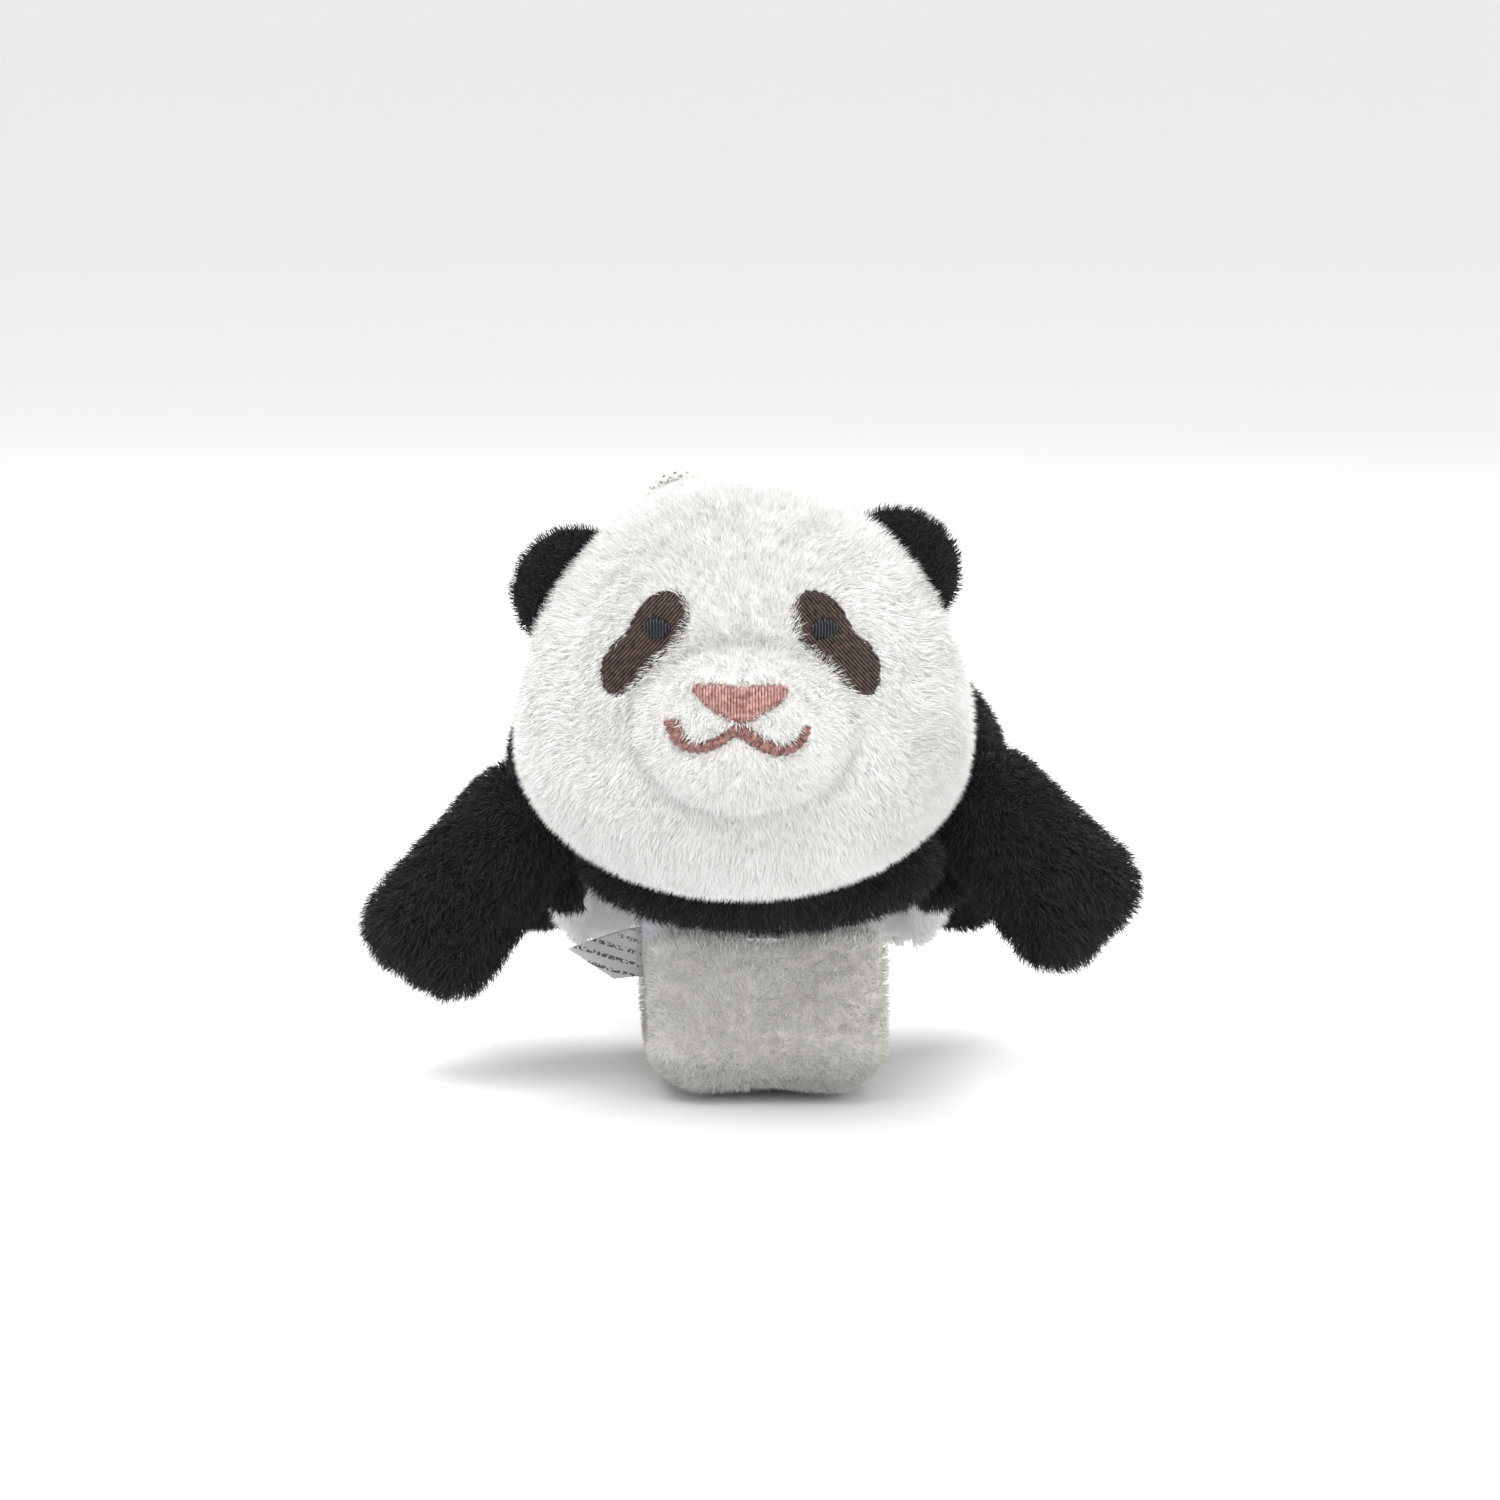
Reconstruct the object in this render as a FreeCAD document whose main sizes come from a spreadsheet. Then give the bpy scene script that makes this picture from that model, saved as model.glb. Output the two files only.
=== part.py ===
"""Plush panda arched over a coiled, cloth-covered slap band, with a hanging loop on its crown.

Millimetres. -Y is the way the panda looks, +Z is up, and +X is on the right of someone who
looks at its face; left and right in the names are that viewer's. The origin is on the flat
underside of the band, below the middle of the coil.
"""
import FreeCAD, Part
import math
import os

from FreeCAD import Placement, Rotation, Vector

doc = FreeCAD.newDocument("PlushPanda")

# ---------------------------------------------------------------- driving dimensions
sheet = doc.addObject("Spreadsheet::Sheet", "Dimensions")
DIMENSIONS = {
    # head: an egg made of two half ellipsoids
    "HeadX": -1.0, "HeadY": -38.0, "HeadZ": 65.0,
    "HeadHalfWidth": 37.5, "HeadHalfDepth": 27.0, "HeadRise": 43.4, "HeadDrop": 26.0,
    "FaceX": -1.5,
    "MuzzleY": -57.0, "MuzzleZ": 70.5,
    "MuzzleHalfWidth": 19.0, "MuzzleHalfDepth": 15.0, "MuzzleHalfHeight": 15.5,
    # cloth and the play between neighbours
    "Cloth": 2.4, "Play": 0.1, "Gap": 0.5, "Stitch": 0.9,
    # body
    "ShoulderY": -4.0, "ShoulderZ": 55.0,
    "ShoulderHalfWidth": 42.5, "ShoulderHalfDepth": 28.0, "ShoulderHalfHeight": 25.5,
    "ChestY": -31.0, "ChestZ": 43.0,
    "ChestHalfWidth": 31.0, "ChestHalfDepth": 9.5, "ChestHalfHeight": 12.0,
    "TorsoY": 20.0, "TorsoZ": 42.0,
    "TorsoHalfWidth": 37.0, "TorsoHalfDepth": 23.0, "TorsoHalfHeight": 29.0,
    "HipX": 26.5, "HipY": 31.0, "HipZ": 29.5,
    "HipHalfWidth": 9.5, "HipHalfDepth": 11.0, "HipHalfHeight": 8.5,
    "SeamY": 2.0,
    # slap band
    "RingRadius": 28.0, "RingZ": 28.0, "ArchHalf": 27.0, "BandThick": 6.0, "BandWidth": 40.0,
    "RearCorner": 15.0, "FrontCorner": 10.0, "FlatFront": -19.0, "FreeEndZ": 30.6,
    "SteelThick": 0.6, "SteelWidth": 26.0, "SteelMargin": 1.6, "LinkGap": 0.3,
    # limbs
    "ArmY": -14.0, "ArmHalfDepth": 8.5, "ArmRoot": 11.5,
    "LegY": 36.0, "LegHalfDepth": 9.0, "LegRoot": 7.5,
    "TailY": 44.0, "TailZ": 38.0, "TailRadius": 7.0,
    # ears
    "EarHalfWidth": 10.4, "EarHalfHeight": 9.8, "EarHalfThick": 3.2,
    # trim
    "CordDiameter": 2.2, "LabelThick": 0.5, "LabelLength": 13.0, "LabelHeight": 9.0,
}
for row, (alias, number) in enumerate(DIMENSIONS.items(), start=1):
    sheet.set(f"A{row}", alias)
    sheet.set(f"B{row}", str(number))
    sheet.setAlias(f"B{row}", alias)
doc.recompute()

SIZE = {alias: float(sheet.get(alias)) for alias in DIMENSIONS}
SIDES = {"left": -1, "right": 1}
NODES = []


# the parting lines of round solids are turned away from the planes where they meet
SEAM_TURN = 50.0


# ---------------------------------------------------------------- helpers
def cell(text):
    """Turn words that are aliases into references to the sheet."""
    for alias in sorted(DIMENSIONS, key=len, reverse=True):
        text = text.replace(f"<{alias}>", f"Dimensions.{alias}")
    return text


def ellipsoid(name, half_x, half_y, half_z, place, low=-90, high=90, sweep=360):
    """A solid ellipsoid with expressions for its half sizes."""
    thing = doc.addObject("Part::Ellipsoid", name)
    thing.setExpression("Radius1", cell(half_z))
    thing.setExpression("Radius2", cell(half_x))
    thing.setExpression("Radius3", cell(half_y))
    thing.Angle1 = low
    thing.Angle2 = high
    thing.Angle3 = sweep
    thing.Placement = place
    return thing


def box(name, low, high):
    """An upright box between two corners."""
    thing = doc.addObject("Part::Box", name)
    thing.Length, thing.Width, thing.Height = [b - a for a, b in zip(low, high)]
    thing.Placement = Placement(Vector(*low), Rotation())
    return thing


def across(name, radius, half, place_x, place_y, place_z, along="Y"):
    """A cylinder lying along Y or X, centred on a point."""
    thing = doc.addObject("Part::Cylinder", name)
    thing.setExpression("Radius", cell(radius))
    thing.Height = 2 * half
    if along == "Y":
        turn = Rotation(Vector(1, 0, 0), 90) * Rotation(Vector(0, 0, 1), SEAM_TURN)
        thing.Placement = Placement(Vector(place_x, place_y + half, place_z), turn)
    else:
        thing.Placement = Placement(Vector(place_x - half, place_y, place_z), Rotation(Vector(0, 1, 0), 90))
    return thing


def fuse(name, *things):
    thing = doc.addObject("Part::MultiFuse", name)
    thing.Shapes = list(things)
    return thing


def cut(name, base, tool):
    thing = doc.addObject("Part::Cut", name)
    thing.Base = base
    thing.Tool = tool
    return thing


def common(name, base, tool):
    thing = doc.addObject("Part::Common", name)
    thing.Base = base
    thing.Tool = tool
    return thing


def node(thing, label):
    """Name a finished sub-part; the label names its file."""
    thing.Label = label
    NODES.append(thing)
    return thing


def body_sketch(name, role):
    """A body with an empty sketch on the origin plane of the given role."""
    body = doc.addObject("PartDesign::Body", name)
    sketch = body.newObject("Sketcher::SketchObject", name + "Sketch")
    plane = next(f for f in body.Origin.OriginFeatures if f.Role == role)
    sketch.AttachmentSupport = [(plane, "")]
    sketch.MapMode = "FlatFace"
    return body, sketch


def pad(body, sketch, length, midplane=True):
    """Pad a sketch by an expression or a plain length."""
    feature = body.newObject("PartDesign::Pad", body.Name + "Pad")
    feature.Profile = sketch
    if isinstance(length, str):
        feature.setExpression("Length", cell(length))
    else:
        feature.Length = length
    feature.Midplane = midplane
    body.Tip = feature
    sketch.Visibility = False
    return feature


def arc_edges(points):
    """Edges of the YZ plane from a list of corner points, with ('arc', middle, end) items for arcs."""
    edges = []
    here = points[0]
    for item in points[1:]:
        if item[0] == "arc":
            middle, end = item[1], item[2]
            edges.append(Part.Arc(Vector(*here, 0), Vector(*middle, 0), Vector(*end, 0)))
            here = end
        else:
            edges.append(Part.LineSegment(Vector(*here, 0), Vector(*item, 0)))
            here = item
    return edges


def spline_outline(sketch, points):
    """A smooth closed outline through the given points."""
    curve = Part.BSplineCurve()
    curve.interpolate([Vector(x, z, 0) for x, z in points], PeriodicFlag=True)
    sketch.addGeometry(curve, False)


def stroke_outline(sketch, points, half_width):
    """Two curves above and below a line, closed by short straight ends."""
    ends = []
    for offset in (half_width, -half_width):
        curve = Part.BSplineCurve()
        row = [Vector(x, z + offset, 0) for x, z in points]
        curve.interpolate(row)
        sketch.addGeometry(curve, False)
        ends.append((row[0], row[-1]))
    for one, two in zip(*ends):
        sketch.addGeometry(Part.LineSegment(one, two), False)


# ---------------------------------------------------------------- solids that several pieces share
HEAD_AT = Placement(Vector(SIZE["HeadX"], SIZE["HeadY"], SIZE["HeadZ"]), Rotation())
MUZZLE_AT = Placement(Vector(SIZE["HeadX"], SIZE["MuzzleY"], SIZE["MuzzleZ"]), Rotation())


def head_egg(name, grow):
    """The head's outline, grown or shrunk evenly by an expression."""
    halves = []
    for part, rise, low, high in (("Crown", "<HeadRise>", 0, 90), ("Jaw", "<HeadDrop>", -90, 0)):
        halves.append(ellipsoid(name + part, f"<HeadHalfWidth>{grow}", f"<HeadHalfDepth>{grow}",
                                rise + grow, HEAD_AT, low, high))
    return fuse(name, *halves)


def muzzle_ball(name, grow):
    """The muzzle's outline, grown or shrunk evenly."""
    return ellipsoid(name, f"<MuzzleHalfWidth>{grow}", f"<MuzzleHalfDepth>{grow}",
                     f"<MuzzleHalfHeight>{grow}", MUZZLE_AT)


def ring_bore(name):
    """The round arch that the body makes over the band."""
    return across(name, "<RingRadius> + <Gap>", 60, 0, 0, SIZE["RingZ"], along="X")


# ---------------------------------------------------------------- head
crown_scoop = ring_bore("HeadScoop")
head_outer = cut("HeadOuter", head_egg("HeadEgg", " + 0"), crown_scoop)
head_inner = cut("HeadInner", head_egg("HeadCavity", " - <Cloth>"),
                 across("HeadInnerScoop", "<RingRadius> + <Gap> + <Cloth>", 60, 0, 0, SIZE["RingZ"], "X"))
head_shell = cut("HeadShell", head_outer, head_inner)
SPLIT_Y = SIZE["HeadY"] + 3.0
head_fill_outer = cut("HeadFillOuter", head_egg("HeadFillEgg", " - <Cloth> - <Play>"),
                      across("HeadFillScoop", "<RingRadius> + <Gap> + <Cloth> + <Play>", 60, 0, 0,
                             SIZE["RingZ"], "X"))
node(common("HeadFront", head_shell, box("FrontHalf", (-60, -90, 20), (60, SPLIT_Y, 120))),
     "head_front_cover")
node(common("HeadBack", head_shell, box("BackHalf", (-60, SPLIT_Y, 20), (60, 20, 120))),
     "head_back_cover")
node(head_fill_outer, "head_stuffing")

# the muzzle is a separate round panel sewn over the face
muzzle_front = cut("MuzzleFront", muzzle_ball("MuzzleBall", " + 0"), head_egg("MuzzleSeat", " + <Play>"))
muzzle_hollow = cut("MuzzleHollow", muzzle_ball("MuzzleCavity", " - <Cloth>"),
                    head_egg("MuzzleCavitySeat", " + <Play> - 1"))
muzzle_fill = cut("MuzzleFill", muzzle_ball("MuzzleFillBall", " - <Cloth> - <Play>"),
                  head_egg("MuzzleFillSeat", " + <Play>"))
node(cut("MuzzleCover", muzzle_front, muzzle_hollow), "muzzle_cover")
node(muzzle_fill, "muzzle_stuffing")

# embroidery: thin layers that follow the head and the muzzle
face_skin = cut("FaceSkin", cut("FaceSkinFull", head_egg("FaceSkinOuter", " + <Stitch>"),
                                head_egg("FaceSkinInner", " + <Play>")),
                muzzle_ball("FaceSkinMuzzle", " + <Play>"))
face_skin_top = cut("FaceSkinTop", head_egg("FaceTopOuter", " + 2 * <Stitch>"),
                    head_egg("FaceTopInner", " + <Stitch> + <Play>"))
muzzle_skin = cut("MuzzleSkin", muzzle_ball("MuzzleSkinOuter", " + <Stitch>"),
                  muzzle_ball("MuzzleSkinInner", " + <Play>"))
EMBROIDERY_REACH = 45.0


def motif(name, points, base_y, half_width=None):
    """An outline, or a line with a width, in the XZ plane padded towards the viewer from base_y."""
    body, sketch = body_sketch(name, "XZ_Plane")
    if half_width is None:
        spline_outline(sketch, points)
    else:
        stroke_outline(sketch, points, half_width)
    pad(body, sketch, EMBROIDERY_REACH, midplane=False)
    body.Placement = Placement(Vector(0, base_y, 0), Rotation())
    return body


def mirrored(points, side):
    """Points given for the right-hand side, moved to either side of the face."""
    return [(SIZE["FaceX"] + side * x, z) for x, z in points]


PATCH = [(10.4, 91.8), (13.5, 91.1), (16.1, 88.4), (17.8, 85.5), (20.5, 82.7), (22.0, 79.7), (21.6, 76.6),
         (20.0, 75.3), (17.6, 76.2), (15.0, 78.8), (12.3, 81.8), (9.3, 84.7), (8.1, 88.2), (8.7, 90.6)]
PUPIL_X, PUPIL_Z, PUPIL_HALF = 12.9, 86.0, 2.0
for side_name, side in SIDES.items():
    patch = motif(f"Patch{side_name.title()}", mirrored(PATCH, side), SIZE["HeadY"] - 3)
    node(common(f"EyePatch{side_name.title()}", patch, face_skin), f"eye_patch_{side_name}")
    round_points = [(PUPIL_X + PUPIL_HALF * math.cos(math.tau * i / 8),
                     PUPIL_Z + PUPIL_HALF * math.sin(math.tau * i / 8)) for i in range(8)]
    pupil = motif(f"PupilMotif{side_name.title()}", mirrored(round_points, side), SIZE["HeadY"] - 3)
    node(common(f"Pupil{side_name.title()}", pupil, face_skin_top), f"pupil_{side_name}")

NOSE = [(-8.5, 78.5), (-5.0, 78.7), (-1.5, 78.4), (2.0, 78.6), (5.4, 78.3), (5.4, 76.6), (2.2, 74.4),
        (-1.3, 73.1), (-5.2, 74.5), (-8.2, 76.8)]
nose = motif("NoseMotif", NOSE, SIZE["MuzzleY"] - 2)
node(common("Nose", nose, muzzle_skin), "nose")

MOUTH_LINE = [(-12.2, 72.8), (-11.1, 70.2), (-8.8, 69.0), (-5.6, 69.8), (-1.8, 72.0), (1.8, 69.8), (5.2, 68.7),
              (7.6, 69.7), (8.8, 72.0)]
MOUTH_HALF = 0.95
mouth = motif("MouthMotif", MOUTH_LINE, SIZE["MuzzleY"] - 2, half_width=MOUTH_HALF)
node(common("Mouth", mouth, muzzle_skin), "mouth")

# ---------------------------------------------------------------- ears
EARS = {"left": (-28.6, -37.0, 89.5, -51.0), "right": (24.1, -37.0, 92.7, 50.0)}
for side_name, (x, y, z, lean) in EARS.items():
    turn = Rotation(Vector(0, 1, 0), lean)
    for layer, spin in (("front", 180), ("back", 0)):
        place = Placement(Vector(x, y, z), turn * Rotation(Vector(0, 0, 1), spin))
        half = ellipsoid(f"Ear{side_name.title()}{layer.title()}", "<EarHalfWidth>", "<EarHalfThick>",
                         "<EarHalfHeight>", place, sweep=180)
        seat = head_egg(f"Ear{side_name.title()}{layer.title()}Seat", " + 2 * <Gap>")
        node(cut(f"Ear{side_name.title()}{layer.title()}Cut", half, seat), f"ear_{side_name}_{layer}")

# ---------------------------------------------------------------- arms and legs
# Each limb is a flipper: a round root about its hinge, running out to one or two round toes.
ARM = (SIZE["ArmY"], SIZE["ArmHalfDepth"], SIZE["ArmRoot"])
LEG = (SIZE["LegY"], SIZE["LegHalfDepth"], SIZE["LegRoot"])
LIMBS = {
    # hinge x and z, middle and half of its depth in y, root radius, toes as x, z, radius
    "arm_left": ((-38.5, 46.0), *ARM, [(-57.0, 29.0, 8.0), (-50.5, 24.8, 8.2)]),
    "arm_right": ((39.5, 49.0), *ARM, [(57.2, 35.6, 8.2), (51.8, 29.4, 8.0)]),
    "leg_left": ((-29.0, 28.0), *LEG, [(-37.5, 25.5, 8.0)]),
    "leg_right": ((29.0, 28.0), *LEG, [(37.5, 25.5, 8.0)]),
}
# how far each limb swings down and up, in degrees
SWING = {"arm": (-10, 45), "leg": (-10, 20)}
ROUNDING = {"arm": 0.0, "leg": 5.0}


def tangent_angle(one, two, upper):
    """Angle at which the outer tangent of two circles touches them both."""
    (x1, z1, r1), (x2, z2, r2) = one, two
    heading = math.atan2(z2 - z1, x2 - x1)
    lean = math.acos((r1 - r2) / math.hypot(x2 - x1, z2 - z1))
    return heading + lean if upper else heading - lean


def on_circle(circle, angle):
    return (circle[0] + circle[2] * math.cos(angle), circle[1] + circle[2] * math.sin(angle))


def circle_arc(circle, start, end):
    """An arc item between two angles, taken the short way round as given."""
    return ("arc", on_circle(circle, (start + end) / 2), on_circle(circle, end))


def crossing(one, two):
    """Where two circles cross, on the side away from the hinge: the notch between two toes."""
    (x1, z1, r1), (x2, z2, r2) = one, two
    apart = math.hypot(x2 - x1, z2 - z1)
    along = (apart ** 2 + r1 ** 2 - r2 ** 2) / (2 * apart)
    off = math.sqrt(r1 ** 2 - along ** 2)
    ux, uz = (x2 - x1) / apart, (z2 - z1) / apart
    return [(x1 + ux * along - uz * off * way, z1 + uz * along + ux * off * way) for way in (1, -1)]


def flipper_points(limb, grow):
    """The outline of a limb in the XZ plane, grown evenly, drawn for the right-hand side."""
    (hinge_x, hinge_z), _, _, root_radius, toes = LIMBS[limb]
    side = 1 if hinge_x > 0 else -1
    root = (side * hinge_x, hinge_z, root_radius + grow)
    toes = [(side * x, z, r + grow) for x, z, r in toes]
    top = tangent_angle(root, toes[0], True)
    low = tangent_angle(root, toes[-1], False)
    points = [on_circle(root, top), on_circle(toes[0], top)]
    if len(toes) == 1:
        points.append(circle_arc(toes[0], top, low))
    else:
        notch = max(crossing(*toes), key=lambda p: p[0])
        for toe, start, end in ((toes[0], top, None), (toes[1], None, low)):
            bearing = math.atan2(notch[1] - toe[1], notch[0] - toe[0])
            points.append(circle_arc(toe, top if start is not None else bearing,
                                     low if end is not None else bearing))
    points.append(on_circle(root, low))
    points.append(circle_arc(root, low, top - math.tau))
    mirror = [("arc", (side * i[1][0], i[1][1]), (side * i[2][0], i[2][1])) if i[0] == "arc"
              else (side * i[0], i[1]) for i in points]
    return mirror


def flipper(name, limb, grow, swing=0.0, rounding=0.0):
    """A padded limb; grow thickens it all round and swing turns it about its hinge."""
    (hinge_x, hinge_z), middle_y, half_depth, _, _ = LIMBS[limb]
    body, sketch = body_sketch(name, "XZ_Plane")
    sketch.addGeometry(arc_edges(flipper_points(limb, grow)), False)
    feature = pad(body, sketch, 2 * (half_depth + grow))
    if rounding:
        doc.recompute()
        rims = []
        for index, edge in enumerate(feature.Shape.Edges, start=1):
            bounds = edge.BoundBox
            if bounds.YLength < 0.01:
                rims.append(f"Edge{index}")
        fillet = body.newObject("PartDesign::Fillet", name + "Rounding")
        fillet.Base = (feature, rims)
        fillet.Radius = rounding
        body.Tip = fillet
    side = 1 if hinge_x > 0 else -1
    turn = Rotation(Vector(0, 1, 0), -side * swing)
    hinge = Vector(hinge_x, 0, hinge_z)
    body.Placement = Placement(Vector(0, middle_y, 0) + hinge - turn.multVec(hinge), turn)
    return body


for limb in LIMBS:
    title = limb.title().replace("_", "")
    outer = flipper(title + "Outer", limb, 0.0, rounding=ROUNDING[limb[:3]])
    cavity = flipper(title + "Cavity", limb, -SIZE["Cloth"])
    node(cut(title, outer, cavity), f"{limb}_cover")
    node(flipper(title + "Fill", limb, -SIZE["Cloth"] - SIZE["Play"]), f"{limb}_stuffing")

# ---------------------------------------------------------------- body
SHRINK = " - <Cloth>"
FILL = " - <Cloth> - <Play>"
SWING_STEPS = 4


def body_mass(name, shrink, with_hips=False):
    """Shoulders, chest and torso as one outline; the hips are low lumps of the outside only."""
    middle = Placement(Vector(1, SIZE["ShoulderY"], SIZE["ShoulderZ"]), Rotation())
    chest = Placement(Vector(2, SIZE["ChestY"], SIZE["ChestZ"]), Rotation())
    torso = Placement(Vector(0, SIZE["TorsoY"], SIZE["TorsoZ"]), Rotation())
    hips = [ellipsoid(f"{name}Hip{side_name.title()}", f"<HipHalfWidth>{shrink}", f"<HipHalfDepth>{shrink}",
                      f"<HipHalfHeight>{shrink}",
                      Placement(Vector(side * SIZE["HipX"], SIZE["HipY"], SIZE["HipZ"]), Rotation()))
            for side_name, side in SIDES.items()] if with_hips else []
    return fuse(name, *hips,
                ellipsoid(name + "Shoulders", f"<ShoulderHalfWidth>{shrink}", f"<ShoulderHalfDepth>{shrink}",
                          f"<ShoulderHalfHeight>{shrink}", middle),
                ellipsoid(name + "Chest", f"<ChestHalfWidth>{shrink}", f"<ChestHalfDepth>{shrink}",
                          f"<ChestHalfHeight>{shrink}", chest),
                ellipsoid(name + "Torso", f"<TorsoHalfWidth>{shrink}", f"<TorsoHalfDepth>{shrink}",
                          f"<TorsoHalfHeight>{shrink}", torso))


def limb_room(name, extra, half=60.0):
    """What the body leaves free for the head, the band and the roots of the limbs.

    The arch over the band reaches half a width each way; only the outside closes it with the hips.
    """
    arch = SIZE["RingRadius"] + SIZE["Gap"] + extra
    pieces = [head_egg(name + "Head", f" + <Play> + {extra}"),
              muzzle_ball(name + "Muzzle", f" + <Play> + {extra}"),
              across(name + "Ring", f"<RingRadius> + <Gap> + {extra}", half, 0, 0, SIZE["RingZ"], "X"),
              box(name + "BelowRing", (-half, -arch, -10), (half, arch, SIZE["RingZ"]))]
    for limb in LIMBS:
        low, high = SWING[limb[:3]]
        for step in range(SWING_STEPS + 1):
            swing = low + (high - low) * step / SWING_STEPS
            pieces.append(flipper(f"{name}{limb.title().replace('_', '')}{step}", limb,
                                  SIZE["Gap"] + extra, swing))
    return fuse(name, *pieces)


body_outer = cut("BodyOuter", body_mass("BodyMass", " + 0", with_hips=True), limb_room("BodyRoom", 0.0, SIZE["ArchHalf"]))
body_inner = cut("BodyInner", body_mass("BodyCavity", SHRINK), limb_room("BodyCavityRoom", SIZE["Cloth"]))
body_fill = cut("BodyFill", body_mass("BodyFillMass", FILL), limb_room("BodyFillRoom", SIZE["Cloth"] + SIZE["Play"]))
body_shell = cut("BodyShell", body_outer, body_inner)
node(common("Shoulders", body_shell, box("ShoulderHalf", (-70, -70, 5), (70, SIZE["SeamY"], 100))),
     "shoulder_cover")
node(common("Torso", body_shell, box("TorsoHalf", (-70, SIZE["SeamY"], 5), (70, 70, 100))), "torso_cover")
# the head presses the stuffing apart into the body's and a little in the chest
CHEST_BACK = -23.5
node(common("BodyFillMain", body_fill, box("BodyFillHalf", (-70, CHEST_BACK + 1, 5), (70, 70, 100))),
     "body_stuffing")
node(common("ChestFill", body_fill, box("ChestFillHalf", (-70, -70, 5), (70, CHEST_BACK - 1, 100))),
     "chest_stuffing")

TAIL_AT = Placement(Vector(0, SIZE["TailY"], SIZE["TailZ"]), Rotation())
tail_room = ellipsoid("TailSeat", "<TorsoHalfWidth> + <Play>", "<TorsoHalfDepth> + <Play>",
                      "<TorsoHalfHeight> + <Play>",
                      Placement(Vector(0, SIZE["TorsoY"], SIZE["TorsoZ"]), Rotation()))
node(cut("Tail", cut("TailShell", ellipsoid("TailBall", "<TailRadius>", "<TailRadius>", "<TailRadius>", TAIL_AT),
                     ellipsoid("TailCavity", "<TailRadius> - <Cloth>", "<TailRadius> - <Cloth>",
                               "<TailRadius> - <Cloth>", TAIL_AT)), tail_room), "tail_cover")

# ---------------------------------------------------------------- slap band
# The band's outer surface runs from the back of the arch down to a flat foot and up to the free end.
RING = SIZE["RingRadius"]
REAR = SIZE["RearCorner"]
FRONT = SIZE["FrontCorner"]
REAR_CENTRE = (RING - REAR, REAR)
FRONT_CENTRE = (SIZE["FlatFront"], FRONT)
FRONT_FACE = SIZE["FlatFront"] - FRONT
THICK = SIZE["BandThick"]
ARCH_FRONT_ANGLE = 160.0
HINGE_TURNS = (15.0, 45.0, 75.0)


def polar(centre, radius, degrees):
    """A point of the YZ plane at an angle measured from +Y towards +Z."""
    return (centre[0] + radius * math.cos(math.radians(degrees)),
            centre[1] + radius * math.sin(math.radians(degrees)))


def rear(turn, depth):
    """A point at the rear corner, depth below the outer surface, after turning by some degrees."""
    return polar(REAR_CENTRE, REAR - depth, -turn)


def front(turn, depth):
    """The same at the front corner."""
    return polar(FRONT_CENTRE, FRONT - depth, -90.0 - turn)


def band_outline(link, top, bottom, clear):
    """The section of one link between two depths, its ends drawn in by the clearance."""
    rear_play = math.degrees(clear / REAR)
    front_play = math.degrees(clear / FRONT)
    a, b, c = HINGE_TURNS
    if link == 0:
        ring = (0.0, SIZE["RingZ"])
        start, end = ARCH_FRONT_ANGLE - math.degrees(clear / RING), 0.0
        outer, inner = RING - top, RING - bottom
        stop = a - rear_play
        return arc_edges([
            polar(ring, outer, start), ("arc", polar(ring, outer, start / 2), polar(ring, outer, end)),
            rear(0, top), ("arc", rear(stop / 2, top), rear(stop, top)), rear(stop, bottom),
            ("arc", rear(stop / 2, bottom), rear(0, bottom)), polar(ring, inner, end),
            ("arc", polar(ring, inner, start / 2), polar(ring, inner, start)), polar(ring, outer, start)])
    if link in (1, 2):
        low, high = ((a, b), (b, c))[link - 1]
        low, high = low + rear_play, high - rear_play
        middle = (low + high) / 2
        return arc_edges([
            rear(low, top), ("arc", rear(middle, top), rear(high, top)), rear(high, bottom),
            ("arc", rear(middle, bottom), rear(low, bottom)), rear(low, top)])
    if link == 3:
        low, high = c + rear_play, a - front_play
        return arc_edges([
            rear(low, top), ("arc", rear((low + 90) / 2, top), rear(90, top)), front(0, top),
            ("arc", front(high / 2, top), front(high, top)), front(high, bottom),
            ("arc", front(high / 2, bottom), front(0, bottom)), rear(90, bottom),
            ("arc", rear((low + 90) / 2, bottom), rear(low, bottom)), rear(low, top)])
    if link in (4, 5):
        low, high = ((a, b), (b, c))[link - 4]
        low, high = low + front_play, high - front_play
        middle = (low + high) / 2
        return arc_edges([
            front(low, top), ("arc", front(middle, top), front(high, top)), front(high, bottom),
            ("arc", front(middle, bottom), front(low, bottom)), front(low, top)])
    low = c + front_play
    tip = SIZE["FreeEndZ"] - (clear - SIZE["LinkGap"] / 2)
    return arc_edges([
        front(low, top), ("arc", front((low + 90) / 2, top), front(90, top)), (FRONT_FACE + top, tip),
        (FRONT_FACE + bottom, tip), front(90, bottom),
        ("arc", front((low + 90) / 2, bottom), front(low, bottom)), front(low, top)])


def band_solid(name, link, top, bottom, clear, width):
    """One link's section, padded across the band's width."""
    body, sketch = body_sketch(name, "YZ_Plane")
    sketch.addGeometry(band_outline(link, top, bottom, clear), False)
    pad(body, sketch, width)
    return body


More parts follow.
